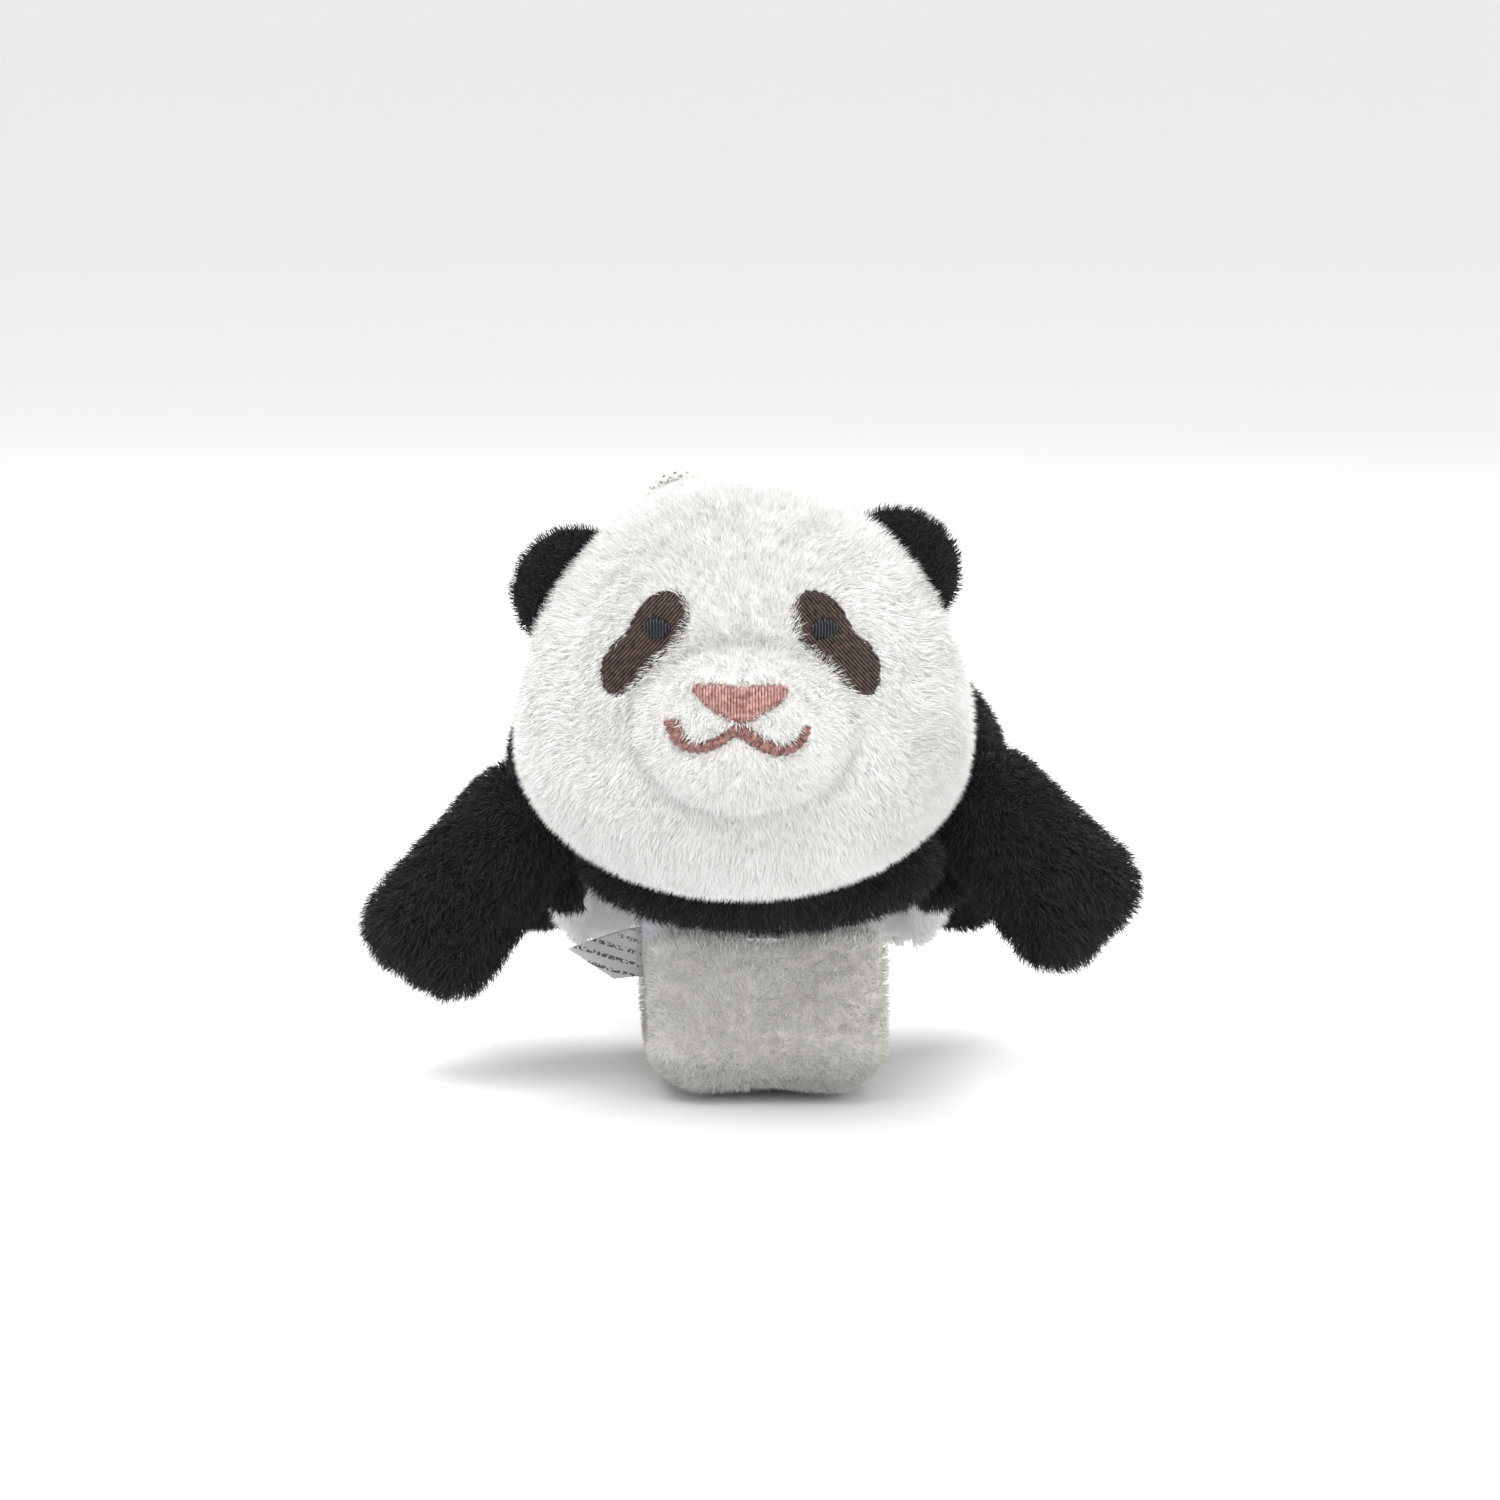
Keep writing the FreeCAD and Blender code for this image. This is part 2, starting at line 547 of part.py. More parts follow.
LINK_NAMES = ["belly_lining"] + [f"band_cover_{index}" for index in range(1, 7)]
STEEL_NAMES = ["band_steel_top"] + [f"band_steel_{index}" for index in range(1, 7)]
LINK_SHIFT = [0.0, 0.6, 1.2, 1.8, 2.4, 3.0, 3.0]
steel_top = (THICK - SIZE["SteelThick"]) / 2
steel_bottom = (THICK + SIZE["SteelThick"]) / 2
for link in range(7):
    half_gap = SIZE["LinkGap"] / 2
    cloth = band_solid(f"BandCloth{link}", link, 0.0, THICK, half_gap, "<BandWidth>")
    slot = band_solid(f"BandSlot{link}", link, steel_top - 0.05, steel_bottom + 0.05,
                      SIZE["SteelMargin"] - 0.1, "<SteelWidth> + 0.2")
    steel = band_solid(f"BandSteel{link}", link, steel_top, steel_bottom, SIZE["SteelMargin"], "<SteelWidth>")
    shift = Placement(Vector(LINK_SHIFT[link], 0, 0), Rotation())
    for piece in (cloth, slot, steel):
        piece.Placement = shift
    node(cut(f"BandCover{link}", cloth, slot), LINK_NAMES[link])
    node(steel, STEEL_NAMES[link])

# ---------------------------------------------------------------- care label in the band's left seam
LABEL_AT = (-20.1, 25.6, 11.5)
label_body, label_sketch = body_sketch("CareLabel", "YZ_Plane")
label_points = [(0.0, 0.0), (2 * SIZE["LabelThick"], 0.0), (2 * SIZE["LabelThick"], SIZE["LabelHeight"]),
                (0.0, SIZE["LabelHeight"]), (0.0, 0.0)]
label_sketch.addGeometry(arc_edges(label_points), False)
pad(label_body, label_sketch, "<LabelLength>", midplane=False)
label_body.Placement = Placement(Vector(*LABEL_AT), Rotation(Vector(0, 0, 1), 180))
node(label_body, "care_label")

# ---------------------------------------------------------------- hanging loop
# Route of the cord by its corner points; each corner is rounded by the largest tangent arc.
LOOP_ROUTE = [(-4.0, -19.1, 98.0), (-4.6, -18.2, 101.4), (-7.4, -19.6, 105.2), (-11.6, -20.6, 106.6),
              (-15.6, -18.8, 104.6), (-17.8, -14.2, 99.6), (-17.6, -8.6, 92.0), (-13.6, -4.9, 85.4),
              (-6.4, -4.4, 83.6), (-2.2, -6.2, 86.6), (-0.8, -10.4, 91.4), (-0.4, -15.3, 92.0)]


def rounded_wire(route):
    """Straight runs joined by tangent arcs through a list of points."""
    points = [Vector(*p) for p in route]
    edges = []
    radii = []
    here = points[0]
    for before, corner, after in zip(points, points[1:], points[2:]):
        back = before - corner
        ahead = after - corner
        turn = math.pi - back.getAngle(ahead)
        reach = 0.45 * min(back.Length, ahead.Length)
        radii.append(reach / math.tan(turn / 2))
        back.normalize()
        ahead.normalize()
        start = corner + back * reach
        end = corner + ahead * reach
        bisector = back + ahead
        bisector.normalize()
        centre = corner + bisector * (reach / math.sin(turn / 2))
        centre_distance = math.hypot(radii[-1], reach)
        middle = corner + bisector * (centre_distance - radii[-1])
        edges.append(Part.LineSegment(here, start).toShape())
        edges.append(Part.Arc(start, middle, end).toShape())
        here = end
    edges.append(Part.LineSegment(here, points[-1]).toShape())
    return Part.Wire(edges), radii


cord_path, cord_radii = rounded_wire(LOOP_ROUTE)
cord_start = Vector(*LOOP_ROUTE[0])
cord_heading = Vector(*LOOP_ROUTE[1]) - cord_start
cord_circle = Part.makeCircle(SIZE["CordDiameter"] / 2, cord_start, cord_heading)
cord_tube = cord_path.makePipeShell([Part.Wire(cord_circle)], True, True)
cord = doc.addObject("Part::Feature", "HangLoop")
cord.Shape = cord_tube
node(cord, "hang_loop")
cord_volume = math.pi * (SIZE["CordDiameter"] / 2) ** 2 * cord_path.Length
print("cord length", round(cord_path.Length, 2), "radii", [round(r, 2) for r in cord_radii])
print("cord volume", round(cord_tube.Volume, 2), "expected", round(cord_volume, 2))

# ---------------------------------------------------------------- check and write
doc.recompute()
for thing in doc.Objects:
    if "Invalid" in thing.State or "Error" in thing.State:
        raise RuntimeError(f"{thing.Name} is {thing.State}")
os.makedirs("parts", exist_ok=True)
for thing in NODES:
    shape = thing.Shape
    if shape.isNull() or not shape.isValid():
        raise RuntimeError(f"{thing.Label} has no valid shape")
    shape.exportStep(f"parts/{thing.Label}.step")
    print(thing.Label, "solids", len(shape.Solids), "volume", round(shape.Volume, 1))
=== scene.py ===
import math

import bmesh
import bpy
import numpy as np
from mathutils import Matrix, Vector
from mathutils.bvhtree import BVHTree


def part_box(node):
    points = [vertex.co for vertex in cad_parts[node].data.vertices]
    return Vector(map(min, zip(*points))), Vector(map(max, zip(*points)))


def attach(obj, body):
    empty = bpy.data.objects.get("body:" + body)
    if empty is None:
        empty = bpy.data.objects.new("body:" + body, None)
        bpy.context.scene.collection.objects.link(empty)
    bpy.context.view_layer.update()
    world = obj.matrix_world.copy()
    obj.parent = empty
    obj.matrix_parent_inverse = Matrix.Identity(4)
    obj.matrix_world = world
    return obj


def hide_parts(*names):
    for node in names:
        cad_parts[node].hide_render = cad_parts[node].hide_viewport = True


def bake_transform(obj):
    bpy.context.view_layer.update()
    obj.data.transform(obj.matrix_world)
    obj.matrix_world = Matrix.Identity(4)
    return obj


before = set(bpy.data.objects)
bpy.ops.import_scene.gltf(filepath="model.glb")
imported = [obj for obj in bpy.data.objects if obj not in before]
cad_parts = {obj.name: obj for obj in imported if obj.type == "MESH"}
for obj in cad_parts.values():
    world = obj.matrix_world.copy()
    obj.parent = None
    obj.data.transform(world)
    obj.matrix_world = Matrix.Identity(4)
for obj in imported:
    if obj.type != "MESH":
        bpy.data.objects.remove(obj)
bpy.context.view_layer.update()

# The object is written in millimetres and scaled to metres where meshes are made.
MM = 0.001
RING_AXIS = np.array([0.0, 0.0, 28.0])


# ---- sizes read from the frame
def box_mm(*nodes):
    """The box round some CAD nodes, in millimetres."""
    corners = [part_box(node) for node in nodes]
    low = np.min([np.array(low) for low, _ in corners], axis=0)
    high = np.max([np.array(high) for _, high in corners], axis=0)
    return low / MM, high / MM


HEAD_LOW, HEAD_HIGH = box_mm("head_front_cover", "head_back_cover")
# how far up the head is widest, as a share of its height
HEAD_DROP = 0.3746
HEAD_CENTRE = (HEAD_LOW + HEAD_HIGH) / 2
HEAD_CENTRE[2] = HEAD_LOW[2] + HEAD_DROP * (HEAD_HIGH[2] - HEAD_LOW[2])
HEAD_HALF = (HEAD_HIGH - HEAD_LOW) / 2
HEAD_RISE = HEAD_HIGH[2] - HEAD_CENTRE[2]
HEAD_FALL = HEAD_CENTRE[2] - HEAD_LOW[2]
# the face is sewn on a little to the left
FACE_X = -1.5


# ---- small helpers
def new_object(name, mesh):
    thing = bpy.data.objects.new(name, mesh)
    bpy.context.scene.collection.objects.link(thing)
    return thing


def mesh_from(name, points, faces, smooth=True):
    """A mesh object from points in millimetres and a list of faces."""
    mesh = bpy.data.meshes.new(name)
    mesh.from_pydata([tuple(p) for p in np.asarray(points) * MM], [], [tuple(int(i) for i in f) for f in faces])
    mesh.update()
    mesh.polygons.foreach_set("use_smooth", [smooth] * len(mesh.polygons))
    return new_object(name, mesh)


def apply_modifiers(thing):
    """Turn the evaluated shape into the object's own mesh."""
    graph = bpy.context.evaluated_depsgraph_get()
    mesh = bpy.data.meshes.new_from_object(thing.evaluated_get(graph))
    old = thing.data
    thing.modifiers.clear()
    thing.data = mesh
    bpy.data.meshes.remove(old)
    return thing


def add_remesh(thing, voxel):
    remesh = thing.modifiers.new("Remesh", "REMESH")
    remesh.mode = "VOXEL"
    remesh.voxel_size = voxel * MM


def refined(thing):
    """Subdivide once."""
    thing.modifiers.new("Refine", "SUBSURF").levels = 1
    return apply_modifiers(thing)


def distances(points):
    """How far along a line each of its points is."""
    return np.concatenate([[0], np.cumsum(np.linalg.norm(np.diff(points, axis=0), axis=1))])


def join_points(parts):
    """Several point and face lists as one."""
    points, faces, start = [], [], 0
    for part_points, part_faces in parts:
        points.append(part_points)
        faces.extend([[i + start for i in face] for face in part_faces])
        start += len(part_points)
    return np.vstack(points), faces


def grid_faces(rows, width, closed=False):
    """Faces between neighbouring rows of points; in a closed grid each row is a ring."""
    faces = []
    for low in range(0, (rows - 1) * width, width):
        for c in range(width if closed else width - 1):
            after = (c + 1) % width
            faces.append((low + c, low + after, low + width + after, low + width + c))
    return faces


def ball(centre, half, top=None, rings=24, sides=40):
    """An ellipsoid's points and faces; top is the half height above the middle."""
    points = []
    for ring in range(rings + 1):
        polar = math.pi * ring / rings
        rise = half[2] if top is None or polar > math.pi / 2 else top
        for side in range(sides):
            around = math.tau * side / sides
            points.append((half[0] * math.sin(polar) * math.cos(around),
                           half[1] * math.sin(polar) * math.sin(around), rise * math.cos(polar)))
    faces = []
    for ring in range(rings):
        for side in range(sides):
            a, b = ring * sides + side, ring * sides + (side + 1) % sides
            faces.append((a + sides, b + sides, b, a))
    return np.array(points) + np.asarray(centre), faces


def solid_from(name, parts, voxel):
    """Several closed shapes fused by a voxel remesh."""
    points, faces = join_points(parts)
    thing = mesh_from(name, points, faces)
    add_remesh(thing, voxel)
    return apply_modifiers(thing)


def carve(thing, tool):
    """Cut one closed mesh out of another."""
    cutter = thing.modifiers.new("Cut", "BOOLEAN")
    cutter.operation = "DIFFERENCE"
    cutter.solver = "EXACT"
    cutter.object = tool
    apply_modifiers(thing)
    bpy.data.objects.remove(tool, do_unlink=True)
    return thing


def finish_skin(thing, voxel, smooth):
    """Even out the mesh and soften its edges."""
    add_remesh(thing, voxel)
    relax = thing.modifiers.new("Soften", "SMOOTH")
    relax.iterations = smooth
    relax.factor = 0.5
    apply_modifiers(thing)
    thing.data.polygons.foreach_set("use_smooth", [True] * len(thing.data.polygons))
    return thing


def coords(thing):
    values = np.empty(len(thing.data.vertices) * 3)
    thing.data.vertices.foreach_get("co", values)
    return values.reshape(-1, 3) / MM


def set_coords(thing, points):
    thing.data.vertices.foreach_set("co", (points * MM).ravel())
    thing.data.update()


CLOTH_PRESSURE, CLOTH_STIFFNESS = 4.0, 25.0


def stuff(thing, seam, cap, frames=14):
    """Blow the cloth up with the stuffing's pressure, held along its seams."""
    start = coords(thing)
    group = thing.vertex_groups.new(name="seam")
    held = np.nonzero(seam(start))[0]
    group.add([int(i) for i in held], 1.0, "REPLACE")
    cloth = thing.modifiers.new("Cloth", "CLOTH")
    cloth.settings.vertex_group_mass = "seam"
    cloth.settings.use_pressure = True
    cloth.settings.uniform_pressure_force = CLOTH_PRESSURE
    cloth.settings.effector_weights.gravity = 0.0
    cloth.settings.tension_stiffness = CLOTH_STIFFNESS
    cloth.settings.compression_stiffness = CLOTH_STIFFNESS
    cloth.point_cache.frame_end = frames
    for number in range(1, frames + 1):
        bpy.context.scene.frame_set(number)
    graph = bpy.context.evaluated_depsgraph_get()
    shape = thing.evaluated_get(graph).to_mesh()
    values = np.empty(len(shape.vertices) * 3)
    shape.vertices.foreach_get("co", values)
    thing.evaluated_get(graph).to_mesh_clear()
    thing.modifiers.clear()
    thing.vertex_groups.clear()
    bpy.context.scene.frame_set(1)
    move = values.reshape(-1, 3) / MM - start
    far = np.linalg.norm(move, axis=1, keepdims=True)
    move *= np.minimum(1.0, cap / np.maximum(far, 1e-9))
    set_coords(thing, start + move)
    return thing


# ---- materials
def shader(name, color, roughness=0.9, sheen=0.0, sheen_color=None):
    """A Principled material with constants on its own sockets."""
    material = bpy.data.materials.new(name)
    material.use_nodes = True
    surface = material.node_tree.nodes["Principled BSDF"]
    surface.inputs["Base Color"].default_value = (*color, 1)
    surface.inputs["Roughness"].default_value = roughness
    surface.inputs["Specular IOR Level"].default_value = 0.2
    if sheen:
        surface.inputs["Sheen Weight"].default_value = sheen
        surface.inputs["Sheen Roughness"].default_value = 0.5
        surface.inputs["Sheen Tint"].default_value = (*(sheen_color or (1, 1, 1)), 1)
    return material


def add_bump(material, make_height, strength, distance):
    """Wire a height texture into the shader's normal."""
    tree = material.node_tree
    bump = tree.nodes.new("ShaderNodeBump")
    bump.inputs["Strength"].default_value = strength
    bump.inputs["Distance"].default_value = distance * MM
    tree.links.new(make_height(tree), bump.inputs["Height"])
    tree.links.new(bump.outputs["Normal"], tree.nodes["Principled BSDF"].inputs["Normal"])
    return material


def object_place(tree):
    return tree.nodes.new("ShaderNodeTexCoord").outputs["Object"]


def noise_height(tree, scale, detail):
    noise = tree.nodes.new("ShaderNodeTexNoise")
    noise.inputs["Scale"].default_value = scale
    noise.inputs["Detail"].default_value = detail
    tree.links.new(object_place(tree), noise.inputs["Vector"])
    return noise.outputs["Fac"]


def speckle(material, dark, light, scale):
    """A mottled base colour."""
    tree = material.node_tree
    ramp = tree.nodes.new("ShaderNodeValToRGB")
    ramp.color_ramp.elements[0].color = (*dark, 1)
    ramp.color_ramp.elements[1].color = (*light, 1)
    ramp.color_ramp.elements[0].position = 0.35
    ramp.color_ramp.elements[1].position = 0.65
    tree.links.new(noise_height(tree, scale, 4.0), ramp.inputs["Fac"])
    tree.links.new(ramp.outputs["Color"], tree.nodes["Principled BSDF"].inputs["Base Color"])
    return material


def fine_noise(scale):
    return lambda tree: noise_height(tree, scale, 3.0)


def cloth_backing(name, dark, light):
    """The knitted ground that the pile grows from."""
    material = speckle(shader(name, light, 0.95, 0.2), dark, light, 900.0)
    return add_bump(material, fine_noise(2600.0), 0.5, 0.2)


def shades(name, colors, roughness, sheen, sheen_color):
    return [shader(f"{name}_{index}", color, roughness, sheen, sheen_color) for index, color in enumerate(colors)]


WHITE = shades("white_pile", [(0.88, 0.88, 0.865), (0.895, 0.895, 0.88), (0.865, 0.865, 0.85), (0.885, 0.88, 0.865),
                              (0.91, 0.91, 0.90)], 0.9, 0.2, (1, 1, 1))
BLACK = shades("black_pile", [(0.010, 0.010, 0.012), (0.016, 0.015, 0.018), (0.006, 0.006, 0.008),
                              (0.024, 0.023, 0.027), (0.040, 0.038, 0.044)], 0.75, 0.25, (0.35, 0.35, 0.4))
BAND = shades("band_pile", [(0.71, 0.70, 0.675), (0.73, 0.72, 0.695), (0.685, 0.67, 0.645), (0.715, 0.70, 0.68),
                            (0.76, 0.75, 0.73)], 0.9, 0.15, (1, 1, 1))
WHITE_BACKING = cloth_backing("white_backing", (0.82, 0.82, 0.80), (0.89, 0.89, 0.875))
BLACK_BACKING = cloth_backing("black_backing", (0.004, 0.004, 0.005), (0.012, 0.012, 0.014))
BAND_BACKING = cloth_backing("band_backing", (0.60, 0.58, 0.55), (0.70, 0.68, 0.65))


# ---- pile
def surface_of(thing):
    """Points, corner indices, normals and areas of a skin's triangles."""
    mesh = thing.data
    mesh.calc_loop_triangles()
    corners = np.empty(len(mesh.loop_triangles) * 3, int)
    mesh.loop_triangles.foreach_get("vertices", corners)
    corners = corners.reshape(-1, 3)
    points = coords(thing)
    normals = np.empty(len(mesh.vertices) * 3)
    mesh.vertices.foreach_get("normal", normals)
    a, b, c = points[corners[:, 0]], points[corners[:, 1]], points[corners[:, 2]]
    areas = np.linalg.norm(np.cross(b - a, c - a), axis=1) / 2
    return points, corners, normals.reshape(-1, 3), areas


def scatter(thing, per_mm2, seed):
    """Even random roots and normals over a skin."""
    random = np.random.default_rng(seed)
    points, corners, normals, areas = surface_of(thing)
    count = int(areas.sum() * per_mm2)
    face = np.searchsorted(np.cumsum(areas), random.random(count) * areas.sum())
    face = np.minimum(face, len(areas) - 1)
    u, v = random.random(count), random.random(count)
    over = u + v > 1
    u[over], v[over] = 1 - u[over], 1 - v[over]
    weights = np.stack([1 - u - v, u, v], 1)[:, :, None]
    roots = (points[corners[face]] * weights).sum(1)
    ups = (normals[corners[face]] * weights).sum(1)
    return roots, ups / np.linalg.norm(ups, axis=1, keepdims=True), random


def unit(vectors):
    return vectors / np.maximum(np.linalg.norm(vectors, axis=-1, keepdims=True), 1e-9)


def wander(points, scale, seed):
    """A smooth random direction field: a few slow waves of random heading."""
    random = np.random.default_rng(seed)
    field = np.zeros_like(points)
    for _ in range(5):
        wave = random.normal(size=3) / scale
        field += np.sin(points @ wave + random.uniform(0, math.tau))[:, None] * random.normal(size=3)
    return field / 2.2


def blades(name, roots, ups, lean, length, width, palette, random, stray=0.22):
    """Flat tapering hairs, three triangles each."""
    count = len(roots)
    size = (length * random.uniform(0.7, 1.12, count))[:, None]
    jitter = random.normal(size=(count, 3)) * stray
    out = unit(ups + 0.55 * lean + jitter)
    tip_way = unit(ups * 0.75 + 1.25 * lean + jitter * 1.6)
    across = unit(np.cross(out, ups + 0.55 * random.normal(size=(count, 3)))) * (width / 2)
    middle = roots + out * size * 0.55
    tip = middle + tip_way * size * 0.5
    base = roots - ups * 0.15
    points = np.stack([base - across, base + across, middle - across * 0.8, middle + across * 0.8, tip], 1)
    mesh = bpy.data.meshes.new(name)
    mesh.vertices.add(count * 5)
    mesh.vertices.foreach_set("co", (points * MM).ravel())
    corners = (np.arange(count) * 5)[:, None] + np.array([0, 1, 3, 0, 3, 2, 2, 3, 4])
    mesh.loops.add(count * 9)
    mesh.loops.foreach_set("vertex_index", corners.ravel())
    mesh.polygons.add(count * 3)
    mesh.polygons.foreach_set("loop_start", np.arange(count * 3) * 3)
    mesh.polygons.foreach_set("material_index", np.repeat(random.integers(0, len(palette), count), 3))
    mesh.update(calc_edges=True)
    for material in palette:
        mesh.materials.append(material)
    return new_object(name, mesh)


DENSITY = 9.0
WIDER = 1.0


def pile(thing, length, palette, comb, seed, keep=None, dense=1.0, width=0.17, clump=0.35, stray=0.22):
    """Short pile over a skin, combed one way and gathered in soft tufts; returns roots and a maker."""
    roots, ups, random = scatter(thing, DENSITY * dense, seed)
    if keep is not None:
        kept = keep(roots, ups)
        roots, ups = roots[kept], ups[kept]
    way = comb(roots, ups) if callable(comb) else np.tile(np.array(comb, float), (len(roots), 1))
    lean = way + clump * wander(roots, 1.1, seed + 10) + 0.25 * wander(roots, 5.0, seed + 20)
    lean -= (lean * ups).sum(1, keepdims=True) * ups
    lengths = np.full(len(roots), float(length)) if np.isscalar(length) else length(roots)

    def make(piece, chosen=None):
        index = np.arange(len(roots)) if chosen is None else np.nonzero(chosen)[0]
        return blades(piece, roots[index], ups[index], lean[index], lengths[index], width * WIDER, palette,
                      random, stray)
    return roots, make


# ---- stuffed skins
PILE_INSET = 1.3
BODY_LUMPS = {
    # middle and half sizes of what is fused into one stuffed form
    "shoulders": ((1.0, -4.0, 55.0), (42.5, 28.0, 25.5)),
    "chest": ((2.0, -31.0, 43.0), (31.0, 9.5, 12.0)),
    "torso": ((0.0, 20.0, 42.0), (37.0, 23.0, 29.0)),
    "hip_left": ((-26.0, 29.0, 26.0), (9.5, 12.0, 11.0)),
    "hip_right": ((26.0, 29.0, 26.0), (9.5, 12.0, 11.0)),
    "flank_left": ((-30.0, -1.0, 37.5), (10.5, 8.5, 9.5)),
    "flank_right": ((31.0, -1.0, 38.0), (10.5, 8.5, 9.5)),
}
SEAM_Y = 2.0
ARCH_RADIUS = 29.2
LIMBS = {
    # hinge, root radius, toes as x, z, radius
    "arm_left": ((-38.5, 46.0), 11.5, [(-57.0, 29.0, 8.0), (-50.5, 24.8, 8.2)]),
    "arm_right": ((39.5, 49.0), 11.5, [(57.2, 35.6, 8.2), (51.8, 29.4, 8.0)]),
    "leg_left": ((-29.0, 28.0), 7.5, [(-37.5, 25.5, 8.0)]),
    "leg_right": ((29.0, 28.0), 7.5, [(37.5, 25.5, 8.0)]),
}
BEADS = 6


def shrunk(half):
    return np.array(half, float) - PILE_INSET


def head_skin():
    half = shrunk([HEAD_HALF[0], HEAD_HALF[1], HEAD_FALL])
    skin = solid_from("head_skin", [ball(HEAD_CENTRE, half, HEAD_RISE - PILE_INSET)], 2.2)
    finish_skin(skin, 2.2, smooth=4)
    side_seam = HEAD_CENTRE[1] + 3.0
    stuff(skin, lambda p: np.abs(p[:, 1] - side_seam) < 1.3, cap=1.0)
    return refined(skin)


MUZZLE_CENTRE = np.array([HEAD_CENTRE[0], -57.0, 70.5])
MUZZLE_HALF = np.array([19.0, 15.0, 15.5])


def muzzle_skin():
    skin = solid_from("muzzle_skin", [ball(MUZZLE_CENTRE, MUZZLE_HALF - PILE_INSET)], 1.4)
    finish_skin(skin, 1.4, smooth=3)
    stuff(skin, lambda p: p[:, 1] > MUZZLE_CENTRE[1] + 2, cap=0.6)
    return refined(skin)


ARCH_HALF = 27.6


def arch_tool():
    """The round-topped space that the body leaves for the band, along X."""
    sweep = np.linspace(0, math.pi, 60)
    profile = [(ARCH_RADIUS, -6.0)] + [(ARCH_RADIUS * math.cos(a), RING_AXIS[2] + ARCH_RADIUS * math.sin(a))
                                       for a in sweep] + [(-ARCH_RADIUS, -6.0)]
    count = len(profile)
    points = [(end, y, z) for end in (-ARCH_HALF, ARCH_HALF) for y, z in profile]
    faces = [(k, (k + 1) % count, count + (k + 1) % count, count + k) for k in range(count)]
    faces += [tuple(reversed(range(count))), tuple(range(count, 2 * count))]
    return mesh_from("arch", np.array(points), faces)


def in_arch(points, grow):
    """Which points are within the arch or close to it."""
    high = np.hypot(points[:, 1], points[:, 2] - RING_AXIS[2]) < ARCH_RADIUS + grow
    low = (points[:, 2] < RING_AXIS[2]) & (np.abs(points[:, 1]) < ARCH_RADIUS + grow)
    return (high | low) & (np.abs(points[:, 0]) < ARCH_HALF + grow)


def body_skin():
    lumps = [ball(middle, shrunk(half)) for middle, half in BODY_LUMPS.values()]
    bridge = ball((0.5, 9.0, 52.0), (37.0, 20.0, 24.0))
    skin = solid_from("body_skin", lumps + [bridge], 1.6)
    carve(skin, arch_tool())
    finish_skin(skin, 1.6, smooth=8)

    def seams(p):
        return in_arch(p, 1.6) | (np.abs(p[:, 1] - SEAM_Y) < 0.9)
    stuff(skin, seams, cap=1.0, frames=10)
    points = coords(skin)
    dip = np.exp(-((points[:, 1] - SEAM_Y) / 1.6) ** 2)[:, None]
    inward = unit(points - np.array([0.0, SEAM_Y, 50.0]))
    set_coords(skin, points - inward * dip * 0.7)
    return skin


def limb_skin(limb):
    """Beads strung from the root to each toe, fused and stuffed."""
    (hinge_x, hinge_z), root, toes = LIMBS[limb]
    low, high = box_mm(limb + "_cover")
    middle_y, half_y = (low[1] + high[1]) / 2, (high[1] - low[1]) / 2 - 0.3
    beads = []
    for x, z, radius in toes:
        for step in range(BEADS + 1):
            part = step / BEADS
            size = root + (radius - root) * part - PILE_INSET
            depth = half_y * (1.0 - 0.12 * part) * (0.94 if step == 0 else 1.0)
            beads.append(ball((hinge_x + (x - hinge_x) * part, middle_y, hinge_z + (z - hinge_z) * part),
                              (size, depth, size), rings=16, sides=24))
    skin = solid_from(limb + "_skin", beads, 1.2)
    finish_skin(skin, 1.5, smooth=5)
    stuff(skin, lambda p: np.abs(p[:, 1] - middle_y) < 0.8, cap=0.8, frames=10)
    return refined(skin)


EARS = {"left": ((-28.6, -37.0, 89.5), math.radians(-51.0)),
        "right": ((24.1, -37.0, 92.7), math.radians(50.0))}
EAR_HALF = np.array([11.3, 3.5, 10.9])
EAR_CUP = 1.6


def ear_skin(side):
    """A cupped half disc standing on the head."""
    centre, lean = EARS[side]
    points, faces = ball((0, 0, 0), EAR_HALF - np.array([0.9, 0.8, 0.9]), rings=28, sides=40)
    cup = np.clip(1 - (points[:, 0] / EAR_HALF[0]) ** 2 - ((points[:, 2] - 1.0) / EAR_HALF[2]) ** 2, 0, 1)
    points[:, 1] += EAR_CUP * cup * (points[:, 1] < 0) - 0.6
    cos, sin = math.cos(lean), math.sin(lean)
    points = points @ np.array([[cos, 0, -sin], [0, 1, 0], [sin, 0, cos]]) + np.array(centre)
    return finish_skin(solid_from(f"ear_{side}_skin", [(points, faces)], 0.8), 0.8, smooth=3)


TAIL_CENTRE, TAIL_HALF = (0.0, 44.0, 38.0), (6.0, 6.4, 5.6)


def tail_skin():
    return finish_skin(solid_from("tail_skin", [ball(TAIL_CENTRE, TAIL_HALF)], 1.0), 1.0, smooth=2)


# ---- embroidery
THREAD = 0.46


def curve_span(a, b, c, d, steps):
    """The stretch of a Catmull-Rom curve from b to just before c."""
    parts = [step / steps for step in range(steps)]
    return [0.5 * (2 * b + (c - a) * u + (2 * a - 5 * b + 4 * c - d) * u * u + (3 * b - a - 3 * c + d) * u ** 3)
            for u in parts]


def smooth_outline(points):
    """A closed curve through given points."""
    points = np.array(points, float)
    out = []
    for index in range(len(points)):
        out += curve_span(*(points[(index + k - 1) % len(points)] for k in range(4)), 10)
    return np.array(out)


